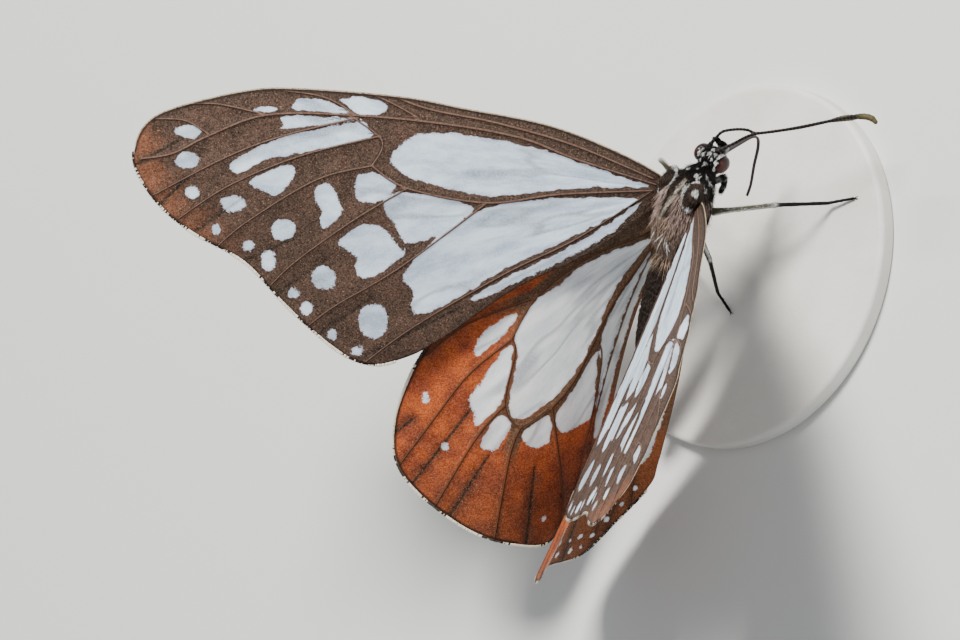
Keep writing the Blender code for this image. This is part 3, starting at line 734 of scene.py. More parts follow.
def vein_marks(paint, f, colour, vein_colour):
    """Each vein is a light rib between flanks of painted shade, darker on one side of the vein. Also returns
    the rib.
    """
    offset = f.signed.math("ABSOLUTE", f.signed) + paint.step(f.reach, 14.0, 0.0) * 0.04 - f.width * 0.3
    near = paint.step(f.vein, 0.5, 0.34)
    # Painted shade beside the vein, darker on the side that its sign picks.
    painted_shade_flank = paint.step(offset, 0.15, 0.02) * near * (paint.step(f.signed, -0.02, 0.02) * 0.55 + 0.35)
    colour = paint.mix(painted_shade_flank, colour, screen(34, 22, 18))
    rib = paint.step(offset, 0.02, -0.02) * near
    return paint.mix(rib, colour, paint.mix(f.scales * 0.7, vein_colour, screen(70, 44, 34))), rib


print("ready to paint the wings")

# %% Wing finish


def wing_paint(name, rust, fold_shade_reach, band_reach, **tones):
    """Scales with pale windows, veins and edges over them. tones are screen colours by name."""
    paint = Paint(name, Specular_IOR_Level=0.12)
    tones = {key: screen(*tone) for key, tone in tones.items()}
    f = Scales(paint)
    pale = paint.step(f.ragged, -0.05, 0.04)
    streak = paint.noise(f.rays, 1.0, 4.0, 0.65)
    tone = scale_tone(paint, f, tones, rust, fold_shade_reach, band_reach)
    colour = paint.mix(pale, tone, glass_tone(paint, f, streak, tones))
    colour, rib = vein_marks(paint, f, colour, tones["vein"])
    colour = paint.mix(paint.step(f.front, 0.5, 0.22) * 0.8, colour, screen(30, 20, 17))
    cream = paint.step(f.front + f.teeth * 0.15, 0.17, 0.06) * paint.step(f.grains, 0.1, 0.3)
    colour = paint.mix(cream * 0.8, colour, screen(196, 176, 146))
    colour = paint.mix(paint.step(f.margin + f.teeth * 0.2, 0.3, 0.1) * 0.75, colour, screen(44, 28, 22))
    height = rib * 0.5 + f.scales * 0.25 + streak * 0.2
    return paint.finish(colour, 0.6 - 0.15 * pale, height, 0.035)


forewing_paint = wing_paint(
    "forewing_scales", rust=0.5, fold_shade_reach=0.35, band_reach=0.12,
    ground=(78, 55, 46), deep=(59, 41, 34), under=(70, 50, 41), band=(54, 37, 30), vein=(124, 98, 84),
    glass=(218, 234, 248), glass_deep=(160, 180, 200))
hindwing_paint = wing_paint(
    "hindwing_scales", rust=0.0, fold_shade_reach=1.3, band_reach=0.7,
    ground=(202, 94, 38), deep=(152, 64, 32), under=(176, 94, 48), band=(98, 74, 54), vein=(116, 76, 50),
    glass=(252, 253, 253), glass_deep=(214, 221, 225))
print("wing finishes:", forewing_paint.name, hindwing_paint.name)

# %% Four wings
WINGS = {}
for (plan, place, kind), paint in zip(PLANS, (forewing_paint, hindwing_paint)):
    for word, side in SIDES:
        points, faces, fields, loop = wing_surface(plan, place, side)
        piece(f"{kind}_{word}_wing", points, faces, paint, (f"{kind}_{word}",), "wing", fields)
        WINGS[kind, word] = loop

# %% [markdown]
# The rim of a real wing carries a fringe of narrow scales, cream between the veins and dark at their
# ends. Each scale here is a small closed lock: three sides, three rings and a tip, so ten points. Its
# bake map is a tiny patch at its root's place on the unwrap of the surface that it grows on.

# %% Locks of hair and scales
LOCK_POINTS = 10
PATCH = 0.003
PATCH_ACROSS = (0, 0.5, 1, 0.1, 0.5, 0.9, 0.25, 0.5, 0.75, 0.5)


def locks(roots, lie, normal, length, width, thin=0.35, bend=0.0, sink=0.12):
    """Closed tapered locks. The middle runs root + length (t lie + bend t² down), t from -sink to 1, and the
    triangular section shrinks as 1 - t². Returns points, quads, triangles and each point's lock and t."""
    n = len(roots)
    t = np.array((-sink, 0.3, 0.7))
    lie, across = unit(lie), unit(np.cross(normal, lie))
    up = np.cross(lie, across)
    length, width, bend = (np.broadcast_to(np.asarray(x, float), n)[:, None, None]
                           for x in (length, width, bend))
    middle = (roots[:, None] + length * t[None, :, None] * lie[:, None]
              - length * bend * (t[None, :, None] ** 2) * up[:, None])
    size = 0.5 * width * (1 - t[None, :, None] ** 2)
    section = ((1, 0), (0, 1), (-1, 0))
    rings = [middle + size * (x * across[:, None] + thin * y * up[:, None]) for x, y in section]
    tip = roots + length[:, 0] * (lie - bend[:, 0] * up)
    points = np.concatenate([np.stack(rings, axis=2).reshape(n, 9, 3), tip[:, None]], axis=1).reshape(-1, 3)
    base = (np.arange(n) * LOCK_POINTS)[:, None, None]
    k = np.arange(3)
    quads = np.array([(r * 3 + a, r * 3 + (a + 1) % 3, r * 3 + 3 + (a + 1) % 3, r * 3 + 3 + a)
                      for r in (0, 1) for a in k])
    ends = np.array([(6 + a, 6 + (a + 1) % 3, 9) for a in k] + [(2, 1, 0)])
    return (points, (base + quads[None]).reshape(-1, 4), (base + ends[None]).reshape(-1, 3),
            np.repeat(np.arange(n), LOCK_POINTS), np.tile(np.r_[np.repeat(t, 3), 1.0], n))


def bake_map(unwrap, owner, along):
    """A small patch for each lock, at its root's place on the unwrap."""
    corner = np.tile(np.array(PATCH_ACROSS), len(unwrap))
    return unwrap[owner] + PATCH * np.c_[corner - 0.5, np.clip(along, 0, 1) - 0.5]


fringe_paint = Paint("fringe_scales", Specular_IOR_Level=0.3)
pale_share = fringe_paint.step(fringe_paint.field("pale"), 0.3, 0.7)
fringe_colour = fringe_paint.mix(pale_share, screen(40, 27, 21), screen(236, 228, 208))
fringe_paint = fringe_paint.finish(fringe_colour, fringe_paint.noise(fringe_paint.place(), 3.0) * 0.2 + 0.5)

# %% The fringes
FRINGE_COUNT, FRINGE_LENGTH, FRINGE_WIDTH, FRINGE_LIFT = 760, 0.22, 0.085, 0.035


def fringe_roots(margin, centre):
    """Two sets of places along the margin, a little uneven, and the direction out of the wing there."""
    even = np.tile(np.linspace(0.004, 0.996, FRINGE_COUNT), 2)
    share = np.clip(np.sort(even + RNG.normal(0, 0.0004, len(even))), 0, 1)
    at = spaced(margin, share)
    before, after = (spaced(margin, np.clip(share + step, 0, 1)) for step in (-0.002, 0.002))
    run = unit(after - before)
    out = np.c_[run[:, 1], -run[:, 0]]
    out *= np.sign(np.einsum("ij,ij->i", out, at - centre)[:, None])
    return share, at, out


for plan, place, kind in PLANS:
    for word, side in SIDES:
        first, end = fringed_span(plan)
        centre = np.array(plan["outline"]).mean(axis=0)
        share, at, out = fringe_roots(WINGS[kind, word][first : end + 1], centre)
        lean = out + RNG.normal(0, 0.16, out.shape)
        ends = np.array([line[-1] for line in plan["veins"].values()])
        near = np.linalg.norm(at[:, None] - ends[None], axis=2).min(axis=1)
        clump = np.sin(share * 610 + side) + np.sin(share * 273)
        pale = 0.9 * ramp(near + 0.5 * clump + RNG.normal(0, 0.12, len(near)), 1.35, 1.6)
        roots = place(at, side)
        lie = place(at + 0.05 * lean, side) - roots
        normal = facing(at, place, side)
        level = np.repeat((-FRINGE_LIFT, FRINGE_LIFT), FRINGE_COUNT)[RNG.permutation(len(at))]
        long = FRINGE_LENGTH * RNG.uniform(0.75, 1.1, len(at)) * (0.7 + 0.35 * pale)
        made = locks(roots + normal * level[:, None], lie, normal, long, FRINGE_WIDTH, 0.3, sink=0.5)
        unwrap = np.c_[share, np.full(len(share), 0.5)]
        piece(f"{kind}_{word}_fringe", made[0], made[1:3], fringe_paint, (), "wing", {"pale": pale[made[3]]},
              bake_map(unwrap, made[3], made[4]))

# %% [markdown]
# ## The body
# Head, thorax and abdomen are one skin, a row of rings along the body, so that no seam shows at the neck
# or the waist. Each ring is given by its place, half width and half heights above and below.

# %% The skin
STATIONS = np.array((
    # y, z, half width, height above, depth below
    (6.3, -2.55, 0.05, 0.05, 0.05), (6.24, -2.55, 0.38, 0.42, 0.42), (5.97, -2.53, 0.8, 0.86, 0.86),
    (5.6, -2.5, 1.07, 1.13, 1.13), (5.15, -2.5, 1.17, 1.22, 1.22), (4.7, -2.45, 1.08, 1.12, 1.14),
    (4.35, -2.3, 0.86, 0.9, 0.95), (4.12, -2.15, 0.76, 0.8, 0.85), (3.9, -2.0, 0.92, 0.95, 1.0),
    (3.5, -1.85, 1.35, 1.22, 1.25), (3.0, -1.68, 1.58, 1.42, 1.45), (2.4, -1.5, 1.95, 1.95, 1.95),
    (1.3, -1.5, 2.2, 2.4, 2.3), (0.0, -1.6, 2.3, 2.55, 2.75), (-1.5, -1.75, 2.3, 2.55, 2.9),
    (-3.0, -1.9, 2.05, 2.25, 2.55), (-4.3, -2.1, 1.6, 1.75, 1.9), (-5.2, -2.4, 1.2, 1.25, 1.3),
    (-6.0, -2.68, 1.12, 1.12, 1.12), (-7.2, -2.95, 1.35, 1.35, 1.35), (-9.0, -3.4, 1.54, 1.56, 1.56),
    (-12.0, -4.4, 1.58, 1.64, 1.64), (-15.0, -5.6, 1.54, 1.63, 1.63), (-18.0, -6.93, 1.44, 1.54, 1.54),
    (-21.0, -8.4, 1.18, 1.3, 1.3), (-23.3, -9.5, 0.9, 1.0, 1.0), (-24.6, -10.17, 0.55, 0.62, 0.62),
    (-25.15, -10.46, 0.28, 0.3, 0.3), (-25.35, -10.56, 0.04, 0.04, 0.04)))
BODY_LINE = smooth_line(STATIONS, 12)
RINGS, ROUND = 400, 104
SEGMENTS = np.array((-7.6, -9.9, -12.2, -14.5, -16.8, -19.1, -21.3, -23.3))
SEGMENT_LENGTH = 2.29
GROOVE_DEPTH, GROOVE_WIDTH, SWELL, SQUARED = 0.05, 0.16, 0.015, 0.05
EYE_CENTRE = np.array((1.36, 5.1, -2.5))
EYE_SIZE = np.array((0.72, 0.98, 1.08))
EYE_RIM_TOWARD = np.array((-0.9165, 0.0, 0.4))
EYE_RIM_FROM = {-1: 0.72, 1: 0.0}


def skin_point(share, turn):
    """The skin at a share of the way from face to tail and a turn about the body, 0 at the right side.
    Grooves between abdomen segments: radius times 1 - depth e^(-(distance to the groove / width)²)."""
    line = spaced(BODY_LINE, share)
    y = line[:, 0]
    groove = np.exp(-((y[:, None] - SEGMENTS) / GROOVE_WIDTH) ** 2).sum(axis=1)
    swell = np.sin(np.clip((y - SEGMENTS[0]) / -SEGMENT_LENGTH, 0, 7) * math.pi) ** 2
    scale = 1 - GROOVE_DEPTH * groove + SWELL * swell * (y < SEGMENTS[0])
    tall = np.where(np.sin(turn) > 0, line[:, 3], line[:, 4])
    scale = scale * (1 + SQUARED * np.sin(2 * turn) ** 2)
    return np.c_[np.cos(turn) * line[:, 2] * scale, y, line[:, 1] + np.sin(turn) * tall * scale]


def skin_frame(share, turn):
    """Place, outward normal and the direction towards the tail, from central differences."""
    here = skin_point(share, turn)
    back = skin_point(share + 0.001, turn) - skin_point(share - 0.001, turn)
    round_ = skin_point(share, turn + 0.01) - skin_point(share, turn - 0.01)
    normal = unit(np.cross(round_, back))
    centre = np.c_[np.zeros(len(here)), here[:, 1], here[:, 2] * 0 + spaced(STATIONS, share)[:, 1]]
    normal *= np.sign(np.einsum("ij,ij->i", normal, here - centre))[:, None]
    return here, normal, unit(back)


# %% [markdown]
# The markings are worked out from a point's place on the body, and the skin and the hairs on it ask the
# same function. A tiger butterfly's head and thorax are black with small round white dots; the collar
# and the sides of the thorax carry cream stripes, and the abdomen is brown, paler below. Its top is near
# black, partly its own dark colour and partly painted shade.

# %% Markings
DOTS = np.array((
    # x, y, z, radius: on the head, the collar and the front of the thorax
    (0.37, 4.68, -1.38, 0.17), (-0.4, 4.75, -1.35, 0.15), (0.95, 5.3, -1.5, 0.2), (-0.8, 5.6, -1.65, 0.24),
    (1.08, 4.8, -1.75, 0.2), (1.1, 4.45, -1.7, 0.15), (-1.1, 4.55, -1.7, 0.18), (0.72, 5.85, -1.9, 0.18),
    (0.5, 6.05, -2.5, 0.14), (0.19, 6.1, -1.92, 0.16), (-0.22, 5.4, -1.32, 0.2), (0.35, 5.72, -1.48, 0.18),
    (-0.31, 6.15, -2.4, 0.16), (-0.98, 5.15, -1.6, 0.2), (-0.72, 3.43, -0.7, 0.21), (0.78, 3.31, -0.64, 0.28),
    (1.31, 3.48, -1.41, 0.2), (-1.31, 3.48, -1.41, 0.22), (1.54, 3.05, -1.9, 0.22), (-1.54, 3.05, -1.9, 0.22),
    (1.83, 2.6, -0.9, 0.2), (1.9, 2.35, -1.2, 0.2), (-1.85, 2.5, -1.0, 0.24), (0.1, 3.9, -1.1, 0.1),
    (1.75, 2.7, -2.6, 0.24), (-1.75, 2.7, -2.6, 0.24), (2.1, 1.4, -3.0, 0.32), (-2.1, 1.4, -3.0, 0.32),
    (2.2, 0.0, -3.6, 0.34), (-2.2, 0.0, -3.6, 0.34), (2.1, -1.6, -3.4, 0.32), (-2.1, -1.6, -3.4, 0.32),
    (1.8, -2.9, -3.2, 0.3), (-1.8, -2.9, -3.2, 0.3), (1.6, -0.6, -4.3, 0.25), (-1.6, -0.6, -4.3, 0.25)))
STRIPE = np.array(((0.31, 2.6, 0.3), (0.31, 1.06, 0.92), (0.0, -0.14, 0.94), (-0.57, -2.41, 0.51)))
SHIELD_LINE = np.array(((1.75, 3.05, 0.2), (1.1, 2.75, 0.2), (0.85, 2.0, 0.5), (0.95, 1.2, 0.65),
                        (1.25, 0.4, 0.7), (1.9, 0.0, 0.5)))
BLACK, WHITE, CREAM = (np.array(screen(*c)[:3]) for c in ((17, 13, 12), (244, 246, 244), (206, 196, 176)))
OLIVE = np.array(screen(74, 70, 50)[:3])
BROWN, ROSY, PALE_BROWN = (np.array(screen(*c)[:3]) for c in ((84, 68, 58), (204, 176, 164), (176, 150, 124)))


def blend(first, second, share):
    """first where share is 0, second where it is 1."""
    return first + (second - first) * np.asarray(share)[..., None]


def mirror(p):
    """The points with those of the left side carried over to the right."""
    return np.c_[np.abs(p[:, 0]), p[:, 1:]]


def body_colour(p):
    """Linear colour at points of the body, from their place in millimetres: each ramp is a soft border."""
    x, y, z = p[:, 0], p[:, 1], p[:, 2]
    colour = np.tile(BLACK, (len(p), 1))
    up = z > -2
    colour = blend(colour, BROWN * 0.8, 0.65 * ramp(y, 3.4, 1.5) * up)
    side = np.abs(x) * ramp(y, 2, -3)
    colour = blend(colour, ROSY * 0.7, 0.9 * ramp(side, 0.3, 1.0) * up)
    colour = blend(colour, ROSY, 0.75 * ramp(y, -1.8, -3.6) * ramp(y, -7.5, -5.5) * (z > -2.6))
    colour = blend(colour, CREAM, 0.9 * ramp(line_distance(p, STRIPE)[0], 0.32, 0.12))
    colour = blend(colour, WHITE, ramp(line_distance(mirror(p), SHIELD_LINE)[0], 0.22, 0.12))
    abdomen = ramp(y, -5.6, -6.6)
    # Near black on top of the abdomen: partly its own dark colour, partly painted shade.
    above = ramp(z - np.interp(y, STATIONS[::-1, 0], STATIONS[::-1, 1]), -0.9, -0.2)
    tail = blend(np.tile(PALE_BROWN, (len(p), 1)), BROWN * 0.3 + BLACK * 0.7, above)
    ring = np.exp(-((y[:, None] - SEGMENTS) / 0.2) ** 2).sum(axis=1)
    tail = blend(tail, BLACK, 0.35 * ring)
    colour = blend(colour, tail, abdomen)
    near = (np.linalg.norm(p[:, None] - DOTS[None, :, :3], axis=2) - DOTS[None, :, 3] * 1.1).min(axis=1)
    return blend(colour, WHITE, ramp(near, 0.06, -0.04) * (1 - abdomen))


def coat_paint(name, rough, shine):
    """Reads the stored colour and varies it a little from hair to hair."""
    paint = Paint(name, Specular_IOR_Level=shine)
    where = paint.place()
    grain, fine = paint.cells(where, 5.0), paint.noise(where, 14.0, 2.0)
    tone = paint.mix(grain * 0.5, paint.field("tint", "Vector"), (0, 0, 0, 1))
    return paint.finish(tone, grain * 0.2 + rough, fine * 0.6 + grain * 0.4, 0.03)


skin_paint, hair_paint = coat_paint("body_scales", 0.55, 0.12), coat_paint("body_hair", 0.5, 0.15)
shares = np.repeat(np.linspace(0.0, 1.0, RINGS), ROUND)
turns = np.tile(np.arange(ROUND) * 2 * math.pi / ROUND, RINGS)
skin = skin_point(shares, turns)
piece("body_skin", skin, closed_faces(RINGS, ROUND), skin_paint, ("head", "thorax", "abdomen"), "body",
      {"tint": body_colour(skin)}, np.c_[turns / (2 * math.pi), shares])

# %% [markdown]
# The coat is set on the skin by drawing random places on it, more where it is wide. Scales lie flat and
# point to the tail; hair is longer and stands off, most of all round the wing roots.

# %% The coat
DRAWS, WIDEST = 12, 2.4


def anywhere(p):
    """True for every point."""
    return np.ones(len(p), bool)


def places(count, from_y, to_y, keep=anywhere):
    """Random shares and turns on the skin between two y, thinned so that each area gets its due."""
    run = run_along(BODY_LINE)
    share = RNG.uniform(0, 1, DRAWS * count)
    turn = RNG.uniform(0, 2 * math.pi, DRAWS * count)
    y, wide = (np.interp(share * run[-1], run, BODY_LINE[:, k]) for k in (0, 2))
    ok = (y < from_y) & (y > to_y) & (RNG.uniform(0, WIDEST, len(y)) < wide)
    share, turn = np.clip(share[ok], 0.01, 0.99), turn[ok]
    good = keep(skin_point(share, turn))
    return share[good][:count], turn[good][:count]


def off_eyes(p):
    """True where a point is clear of both eyes."""
    far = [np.linalg.norm((p - EYE_CENTRE * (s, 1, 1)) / (EYE_SIZE * 1.02), axis=1) for s in (1, -1)]
    return np.min(far, axis=0) > 1


def on_skin(share, turn):
    """Root, outward normal, direction to the tail, and place on the unwrap."""
    return (*skin_frame(share, turn), np.c_[turn / (2 * math.pi), share])


def coat(name, rooted, length, width, lift, thin, slot, spread=0.25, bend=0.15, tint=None):
    """Locks that lie to the tail, raised by lift and scattered by spread. Without a tint they take the
    body's colour at their roots."""
    here, normal, back, unwrap = rooted
    lie = back + lift * normal + RNG.normal(0, spread, here.shape)
    size = length * RNG.uniform(0.7, 1.25, len(here))
    made = locks(here, lie, normal, size, width, thin, bend)
    if tint is None:
        tint = body_colour(here + RNG.normal(0, 0.05, here.shape))
    colour = np.broadcast_to(tint, here.shape)
    colour = colour * RNG.uniform(0.55, 1.25, len(here))[:, None]
    return piece(name, made[0], made[1:3], hair_paint, (), slot, {"tint": colour[made[3]]},
                 bake_map(unwrap, made[3], made[4]))


coat("head_scales", on_skin(*places(3600, 6.25, 4.0, off_eyes)), 0.3, 0.12, 0.45, 0.3, "body")
coat("thorax_scales", on_skin(*places(9500, 4.2, -5.8)), 0.42, 0.13, 0.2, 0.28, "body")
coat("abdomen_scales", on_skin(*places(9000, -5.4, -25.0)), 0.42, 0.19, 0.1, 0.22, "abdomen", 0.14)

# %% Longer hair
SAND = np.array(screen(214, 184, 158)[:3])
coat("head_hair", on_skin(*places(900, 6.2, 4.0, off_eyes)), 0.55, 0.05, 1.1, 0.8, "body", 0.3, 0.2)
rooted = on_skin(*places(900, 4.0, 2.2, lambda p: p[:, 2] > -3.0))
coat("collar_hair", rooted, 0.6, 0.05, 0.8, 0.8, "body", 0.3, 0.2, BLACK * 1.5)
rooted = on_skin(*places(3600, 3.4, -4.6, lambda p: p[:, 2] < -2.2))
coat("breast_hair", rooted, 0.75, 0.05, 0.55, 0.8, "body", 0.3, 0.3)
rooted = on_skin(*places(2600, 1.4, -5.0, lambda p: (p[:, 2] > -2.6) & (np.abs(p[:, 0]) > 0.55)))
tint = blend(BROWN[None] * 0.8, ROSY[None] * 1.6, RNG.uniform(0, 1, len(rooted[0])))
coat("wing_root_hair", rooted, 1.35, 0.05, 0.4, 0.8, "body", 0.2, 0.25, tint)
rooted = on_skin(*places(1700, -1.6, -6.6, lambda p: p[:, 2] > -2.4))
tint = blend(BROWN[None] * 0.75, SAND[None], RNG.uniform(0, 1, len(rooted[0])))
coat("waist_hair", rooted, 1.8, 0.055, 0.3, 0.8, "body", 0.16, 0.2, tint)
rooted = on_skin(*places(260, -2.9, -4.0, lambda p: (np.abs(np.abs(p[:, 0]) - 0.85) < 0.35)
                         & (p[:, 2] > -1.2)))
coat("white_tufts", rooted, 1.6, 0.1, 1.1, 0.8, "body", 0.4, 0.75, WHITE)

# %% [markdown]
# ## The head's parts
# The eyes are large, dark red-brown domes made of thousands of facets far too small to see singly, so
# they are a smooth form with a fine cell pattern in the relief and a faint gloss on top. White and black
# scales of the crown grow over their inner side.

# %% Eyes
BALL_ROWS, BALL_COLS, POLE = 64, 96, 1.5


def ellipsoid(centre, size):
    """centre + size · (cos v cos u, cos v sin u, sin v), v from pole to pole, with both poles closed."""
    v = np.repeat(np.linspace(-POLE, POLE, BALL_ROWS), BALL_COLS)
    u = np.tile(np.arange(BALL_COLS) * 2 * math.pi / BALL_COLS, BALL_ROWS)
    ball = np.c_[np.cos(v) * np.cos(u), np.cos(v) * np.sin(u), np.sin(v)]
    return np.asarray(centre) + ball * np.asarray(size), closed_faces(BALL_ROWS, BALL_COLS)


def on_ball(centre, size, ball, tail):
    """Roots on an ellipsoid at directions of the unit ball, the outward normal, the part of the tail's
    direction that lies on the surface, and the place on the unwrap."""
    normal = unit(ball / size)
    back = unit(np.cross(np.cross(normal, tail), normal))
    unwrap = np.c_[np.arctan2(ball[:, 1], ball[:, 0]) / (2 * math.pi) + 0.5, ball[:, 2] / 2 + 0.5]
    return centre + ball * size, normal, back, unwrap


eye = Paint("eye_facets", Coat_Weight=0.12, Coat_Roughness=0.1, Specular_IOR_Level=0.2)
where = eye.place()
facet = eye.node("ShaderNodeTexVoronoi", {"feature": "DISTANCE_TO_EDGE"}, {"Vector": where, "Scale": 16.0})
mottle = eye.step(eye.noise(where, 1.3, 3.0), 0.35, 0.7)
eye_colour = eye.mix(mottle * 0.7, screen(24, 8, 8), screen(74, 27, 23))
eye_paint = eye.finish(eye_colour, mottle * 0.1 + 0.16, eye.step(facet, 0.0, 0.12), 0.004)
for word, side in SIDES:
    points, faces = ellipsoid(EYE_CENTRE * (side, 1, 1), EYE_SIZE * 0.99)
    piece(f"eye_{word}_dome", points, faces, eye_paint, (f"eye_{word}",), "eye")
    ball = unit(RNG.normal(0, 1, (9000, 3)))
    inward = ball @ EYE_RIM_TOWARD - EYE_RIM_FROM[side]
    covered = (inward > 0) & (inward < 0.9) & (ball[:, 2] > -0.5)
    ball, inward = ball[covered][:1300] * (side, 1, 1), inward[covered][:1300]
    patches = np.abs(inward - 0.2) - 0.12 * np.sin(ball[:, 1] * 9)
    patches -= 0.1 * np.sin(inward * 17 + ball[:, 1] * 5)
    white = ramp(patches + RNG.normal(0, 0.04, len(ball)), 0.17, 0.09)
    rooted = on_ball(EYE_CENTRE * (side, 1, 1), EYE_SIZE, ball, (0.2 * side, -1, 0))
    coat(f"eye_{word}_rim", rooted, 0.26, 0.11, 0.35, 0.3, "body", 0.25, 0.1,
         blend(BLACK[None], WHITE[None], white))

# %% [markdown]
# The tegulae are the two scale-covered shields over the roots of the forewings: brown domes with a
# white spot in front and a white patch behind.

# %% Tegulae
SHIELD_CENTRE, SHIELD_SIZE = np.array((1.8, 1.35, 0.0)), np.array((0.85, 1.7, 0.92))
SHIELD_MARKS = np.array(((2.3, 2.15, 0.6, 0.32), (2.5, 1.85, 0.55, 0.2), (2.25, 0.1, 0.4, 0.4)))


def shield_colour(p):
    """Two browns, and white on the inner outline, the spot and the patch."""
    q = mirror(p)
    near = (np.linalg.norm(q[:, None] - SHIELD_MARKS[None, :, :3], axis=2) - SHIELD_MARKS[:, 3]).min(axis=1)
    near = np.minimum(near, line_distance(q, SHIELD_LINE)[0] - 0.2)
    cloud = 0.5 + 0.5 * np.sin(q[:, 1] * 5 + q[:, 0] * 3)
    return blend(blend(BROWN[None] * 0.4, BROWN[None] * 0.75, cloud), WHITE, ramp(near, 0.06, -0.04))


for word, side in SIDES:
    points, faces = ellipsoid(SHIELD_CENTRE * (side, 1, 1), SHIELD_SIZE)
    piece(f"tegula_{word}", points, faces, skin_paint, (), "body", {"tint": shield_colour(points)})
    ball = unit(RNG.normal(0, 1, (1500, 3)))
    ball = ball[ball[:, 2] > -0.75]
    rooted = on_ball(SHIELD_CENTRE * (side, 1, 1), SHIELD_SIZE, ball, (0, -1, 0.001))
    coat(f"tegula_{word}_scales", rooted, 0.3, 0.13, 0.3, 0.28, "body", 0.25, 0.1, shield_colour(rooted[0]))

# %% [markdown]
# Feelers, tongue, palps and legs are all tubes along a path. A tube's rings are turned along the path
# without twisting, and its radius may swell at each joint.

# %% Tubes
TUBE_UP = (0.13, 0.31, 0.94)


def tube(path, radius, rings=160, sides=16):
    """Rings of radius(share) about a path, squared to its run, with rounded closed ends. Returns points,
    faces and each point's share of the length."""
    share = np.linspace(0, 1, rings)
    line = spaced(path, share)
    along = unit(np.gradient(line, axis=0))
    across = unit(np.cross(along, TUBE_UP))
    upward = np.cross(across, along)
    size = radius(share)
    from_end = np.minimum(np.arange(rings), np.arange(rings)[::-1]) / 3.0
    cap = np.sqrt(np.clip(1 - (1 - from_end).clip(0) ** 2, 0.02, 1))
    turn = np.arange(sides) * 2 * math.pi / sides
    ring = np.cos(turn)[None, :, None] * across[:, None] + np.sin(turn)[None, :, None] * upward[:, None]
    points = line[:, None] + (size * cap)[:, None, None] * ring
    return points.reshape(-1, 3), closed_faces(rings, sides), np.repeat(share, sides)


def joined(*parts):
    """Several closed shapes as one: points, faces and shares put end to end."""
    points, faces, shares, so_far = [], [], [], 0
    for p, f, s in parts:
        points.append(p)
        faces += [block + so_far for block in f]
        shares.append(s)
        so_far += len(p)
    return np.concatenate(points), faces, np.concatenate(shares)


# %% [markdown]
# A feeler has some forty short ringed joints and ends in a slender olive club. The tongue is dark and
# bends like an elbow where it is lowered to drink.

# %% Feelers and tongue
ANTENNA_PATHS = {
    "right": ((0.55, 6.0, -1.9), (1.9, 7.8, -2.5), (2.8, 8.8, -2.4), (4.0, 9.8, -2.2), (6.2, 11.2, -2.2),
              (8.8, 13.0, -2.3), (12.4, 15.7, -2.7), (14.4, 17.0, -2.9), (15.5, 17.4, -3.2),
              (16.3, 17.2, -3.4)),
    "left": ((-0.55, 6.0, -1.9), (0.0, 7.4, -1.8), (0.3, 8.2, -2.0), (0.8, 8.8, -3.1), (1.3, 9.1, -4.2),
             (2.1, 9.2, -4.8), (3.7, 10.3, -5.4), (5.6, 11.8, -6.6), (8.2, 14.2, -8.3), (9.4, 15.1, -9.3)),
}
PROBOSCIS_PATH = ((0.0, 5.6, -3.6), (0.0, 6.9, -5.4), (0.0, 7.95, -7.0), (0.0, 7.9, -8.0), (0.0, 6.9, -8.7),
                  (0.0, 5.0, -9.3), (0.0, 2.9, -10.1), (0.0, 1.6, -10.3))
feeler = Paint("feeler_rings", Specular_IOR_Level=0.15)
joint = feeler.field("ring")
feeler_tone = feeler.mix(feeler.step(joint, 0.75, 0.95), screen(18, 14, 14), screen(52, 44, 40))
feeler_tone = feeler.mix(feeler.step(feeler.field("share"), 0.86, 0.93), feeler_tone, screen(76, 70, 46))
feeler_paint = feeler.finish(feeler_tone, feeler.noise(feeler.place(), 8.0) * 0.2 + 0.35,
                             feeler.noise(feeler.place(), 20.0), 0.012)
FEELER_JOINTS, TONGUE_JOINTS = 44, 90


def feeler_radius(s):
    """A thick first joint, a slender whip with a neck at each joint, and a club that tapers at its end."""
    return (0.15 + 0.1 * np.exp(-((s - 0.02) / 0.03) ** 2) + 0.17 * ramp(s, 0.8, 0.93)
            - 0.12 * ramp(s, 0.96, 1.0) - 0.012 * np.cos(s * FEELER_JOINTS * 2 * math.pi))


def tongue_radius(s):
    """Half the tongue, tapering, with fine rings."""
    return 0.15 - 0.06 * s - 0.003 * np.cos(s * 500)


for word, _ in SIDES:
    points, faces, share = tube(smooth_line(ANTENNA_PATHS[word], 16), feeler_radius, 420, 16)
    piece(f"antenna_{word}_rings", points, faces, feeler_paint, (f"antenna_{word}",), "antenna",
          {"ring": 0.5 + 0.5 * np.cos(share * FEELER_JOINTS * 2 * math.pi), "share": share})
tongue = Paint("tongue_rings", Specular_IOR_Level=0.5)
rings = tongue.field("ring")
tongue_tone = tongue.mix(rings * 0.5, screen(26, 18, 20), screen(58, 42, 42))
tongue_paint = tongue.finish(tongue_tone, rings * 0.15 + 0.3, rings, 0.015)
path = smooth_line(PROBOSCIS_PATH, 16)
halves = [tube(path + (0.07 * side, 0, 0), tongue_radius, 420, 12) for side in (-1, 1)]
points, faces, share = joined(*halves)
piece("proboscis_halves", points, faces, tongue_paint, ("proboscis",), "limb",
      {"ring": 0.5 + 0.5 * np.cos(share * TONGUE_JOINTS * 2 * math.pi)})

# %% [markdown]
# The palps are two short hairy limbs in front of the face, black with white below.

# %% Palps
PALP_PATH = ((0.42, 5.95, -3.65), (0.45, 6.55, -3.35), (0.42, 6.95, -2.65), (0.38, 7.05, -2.05))


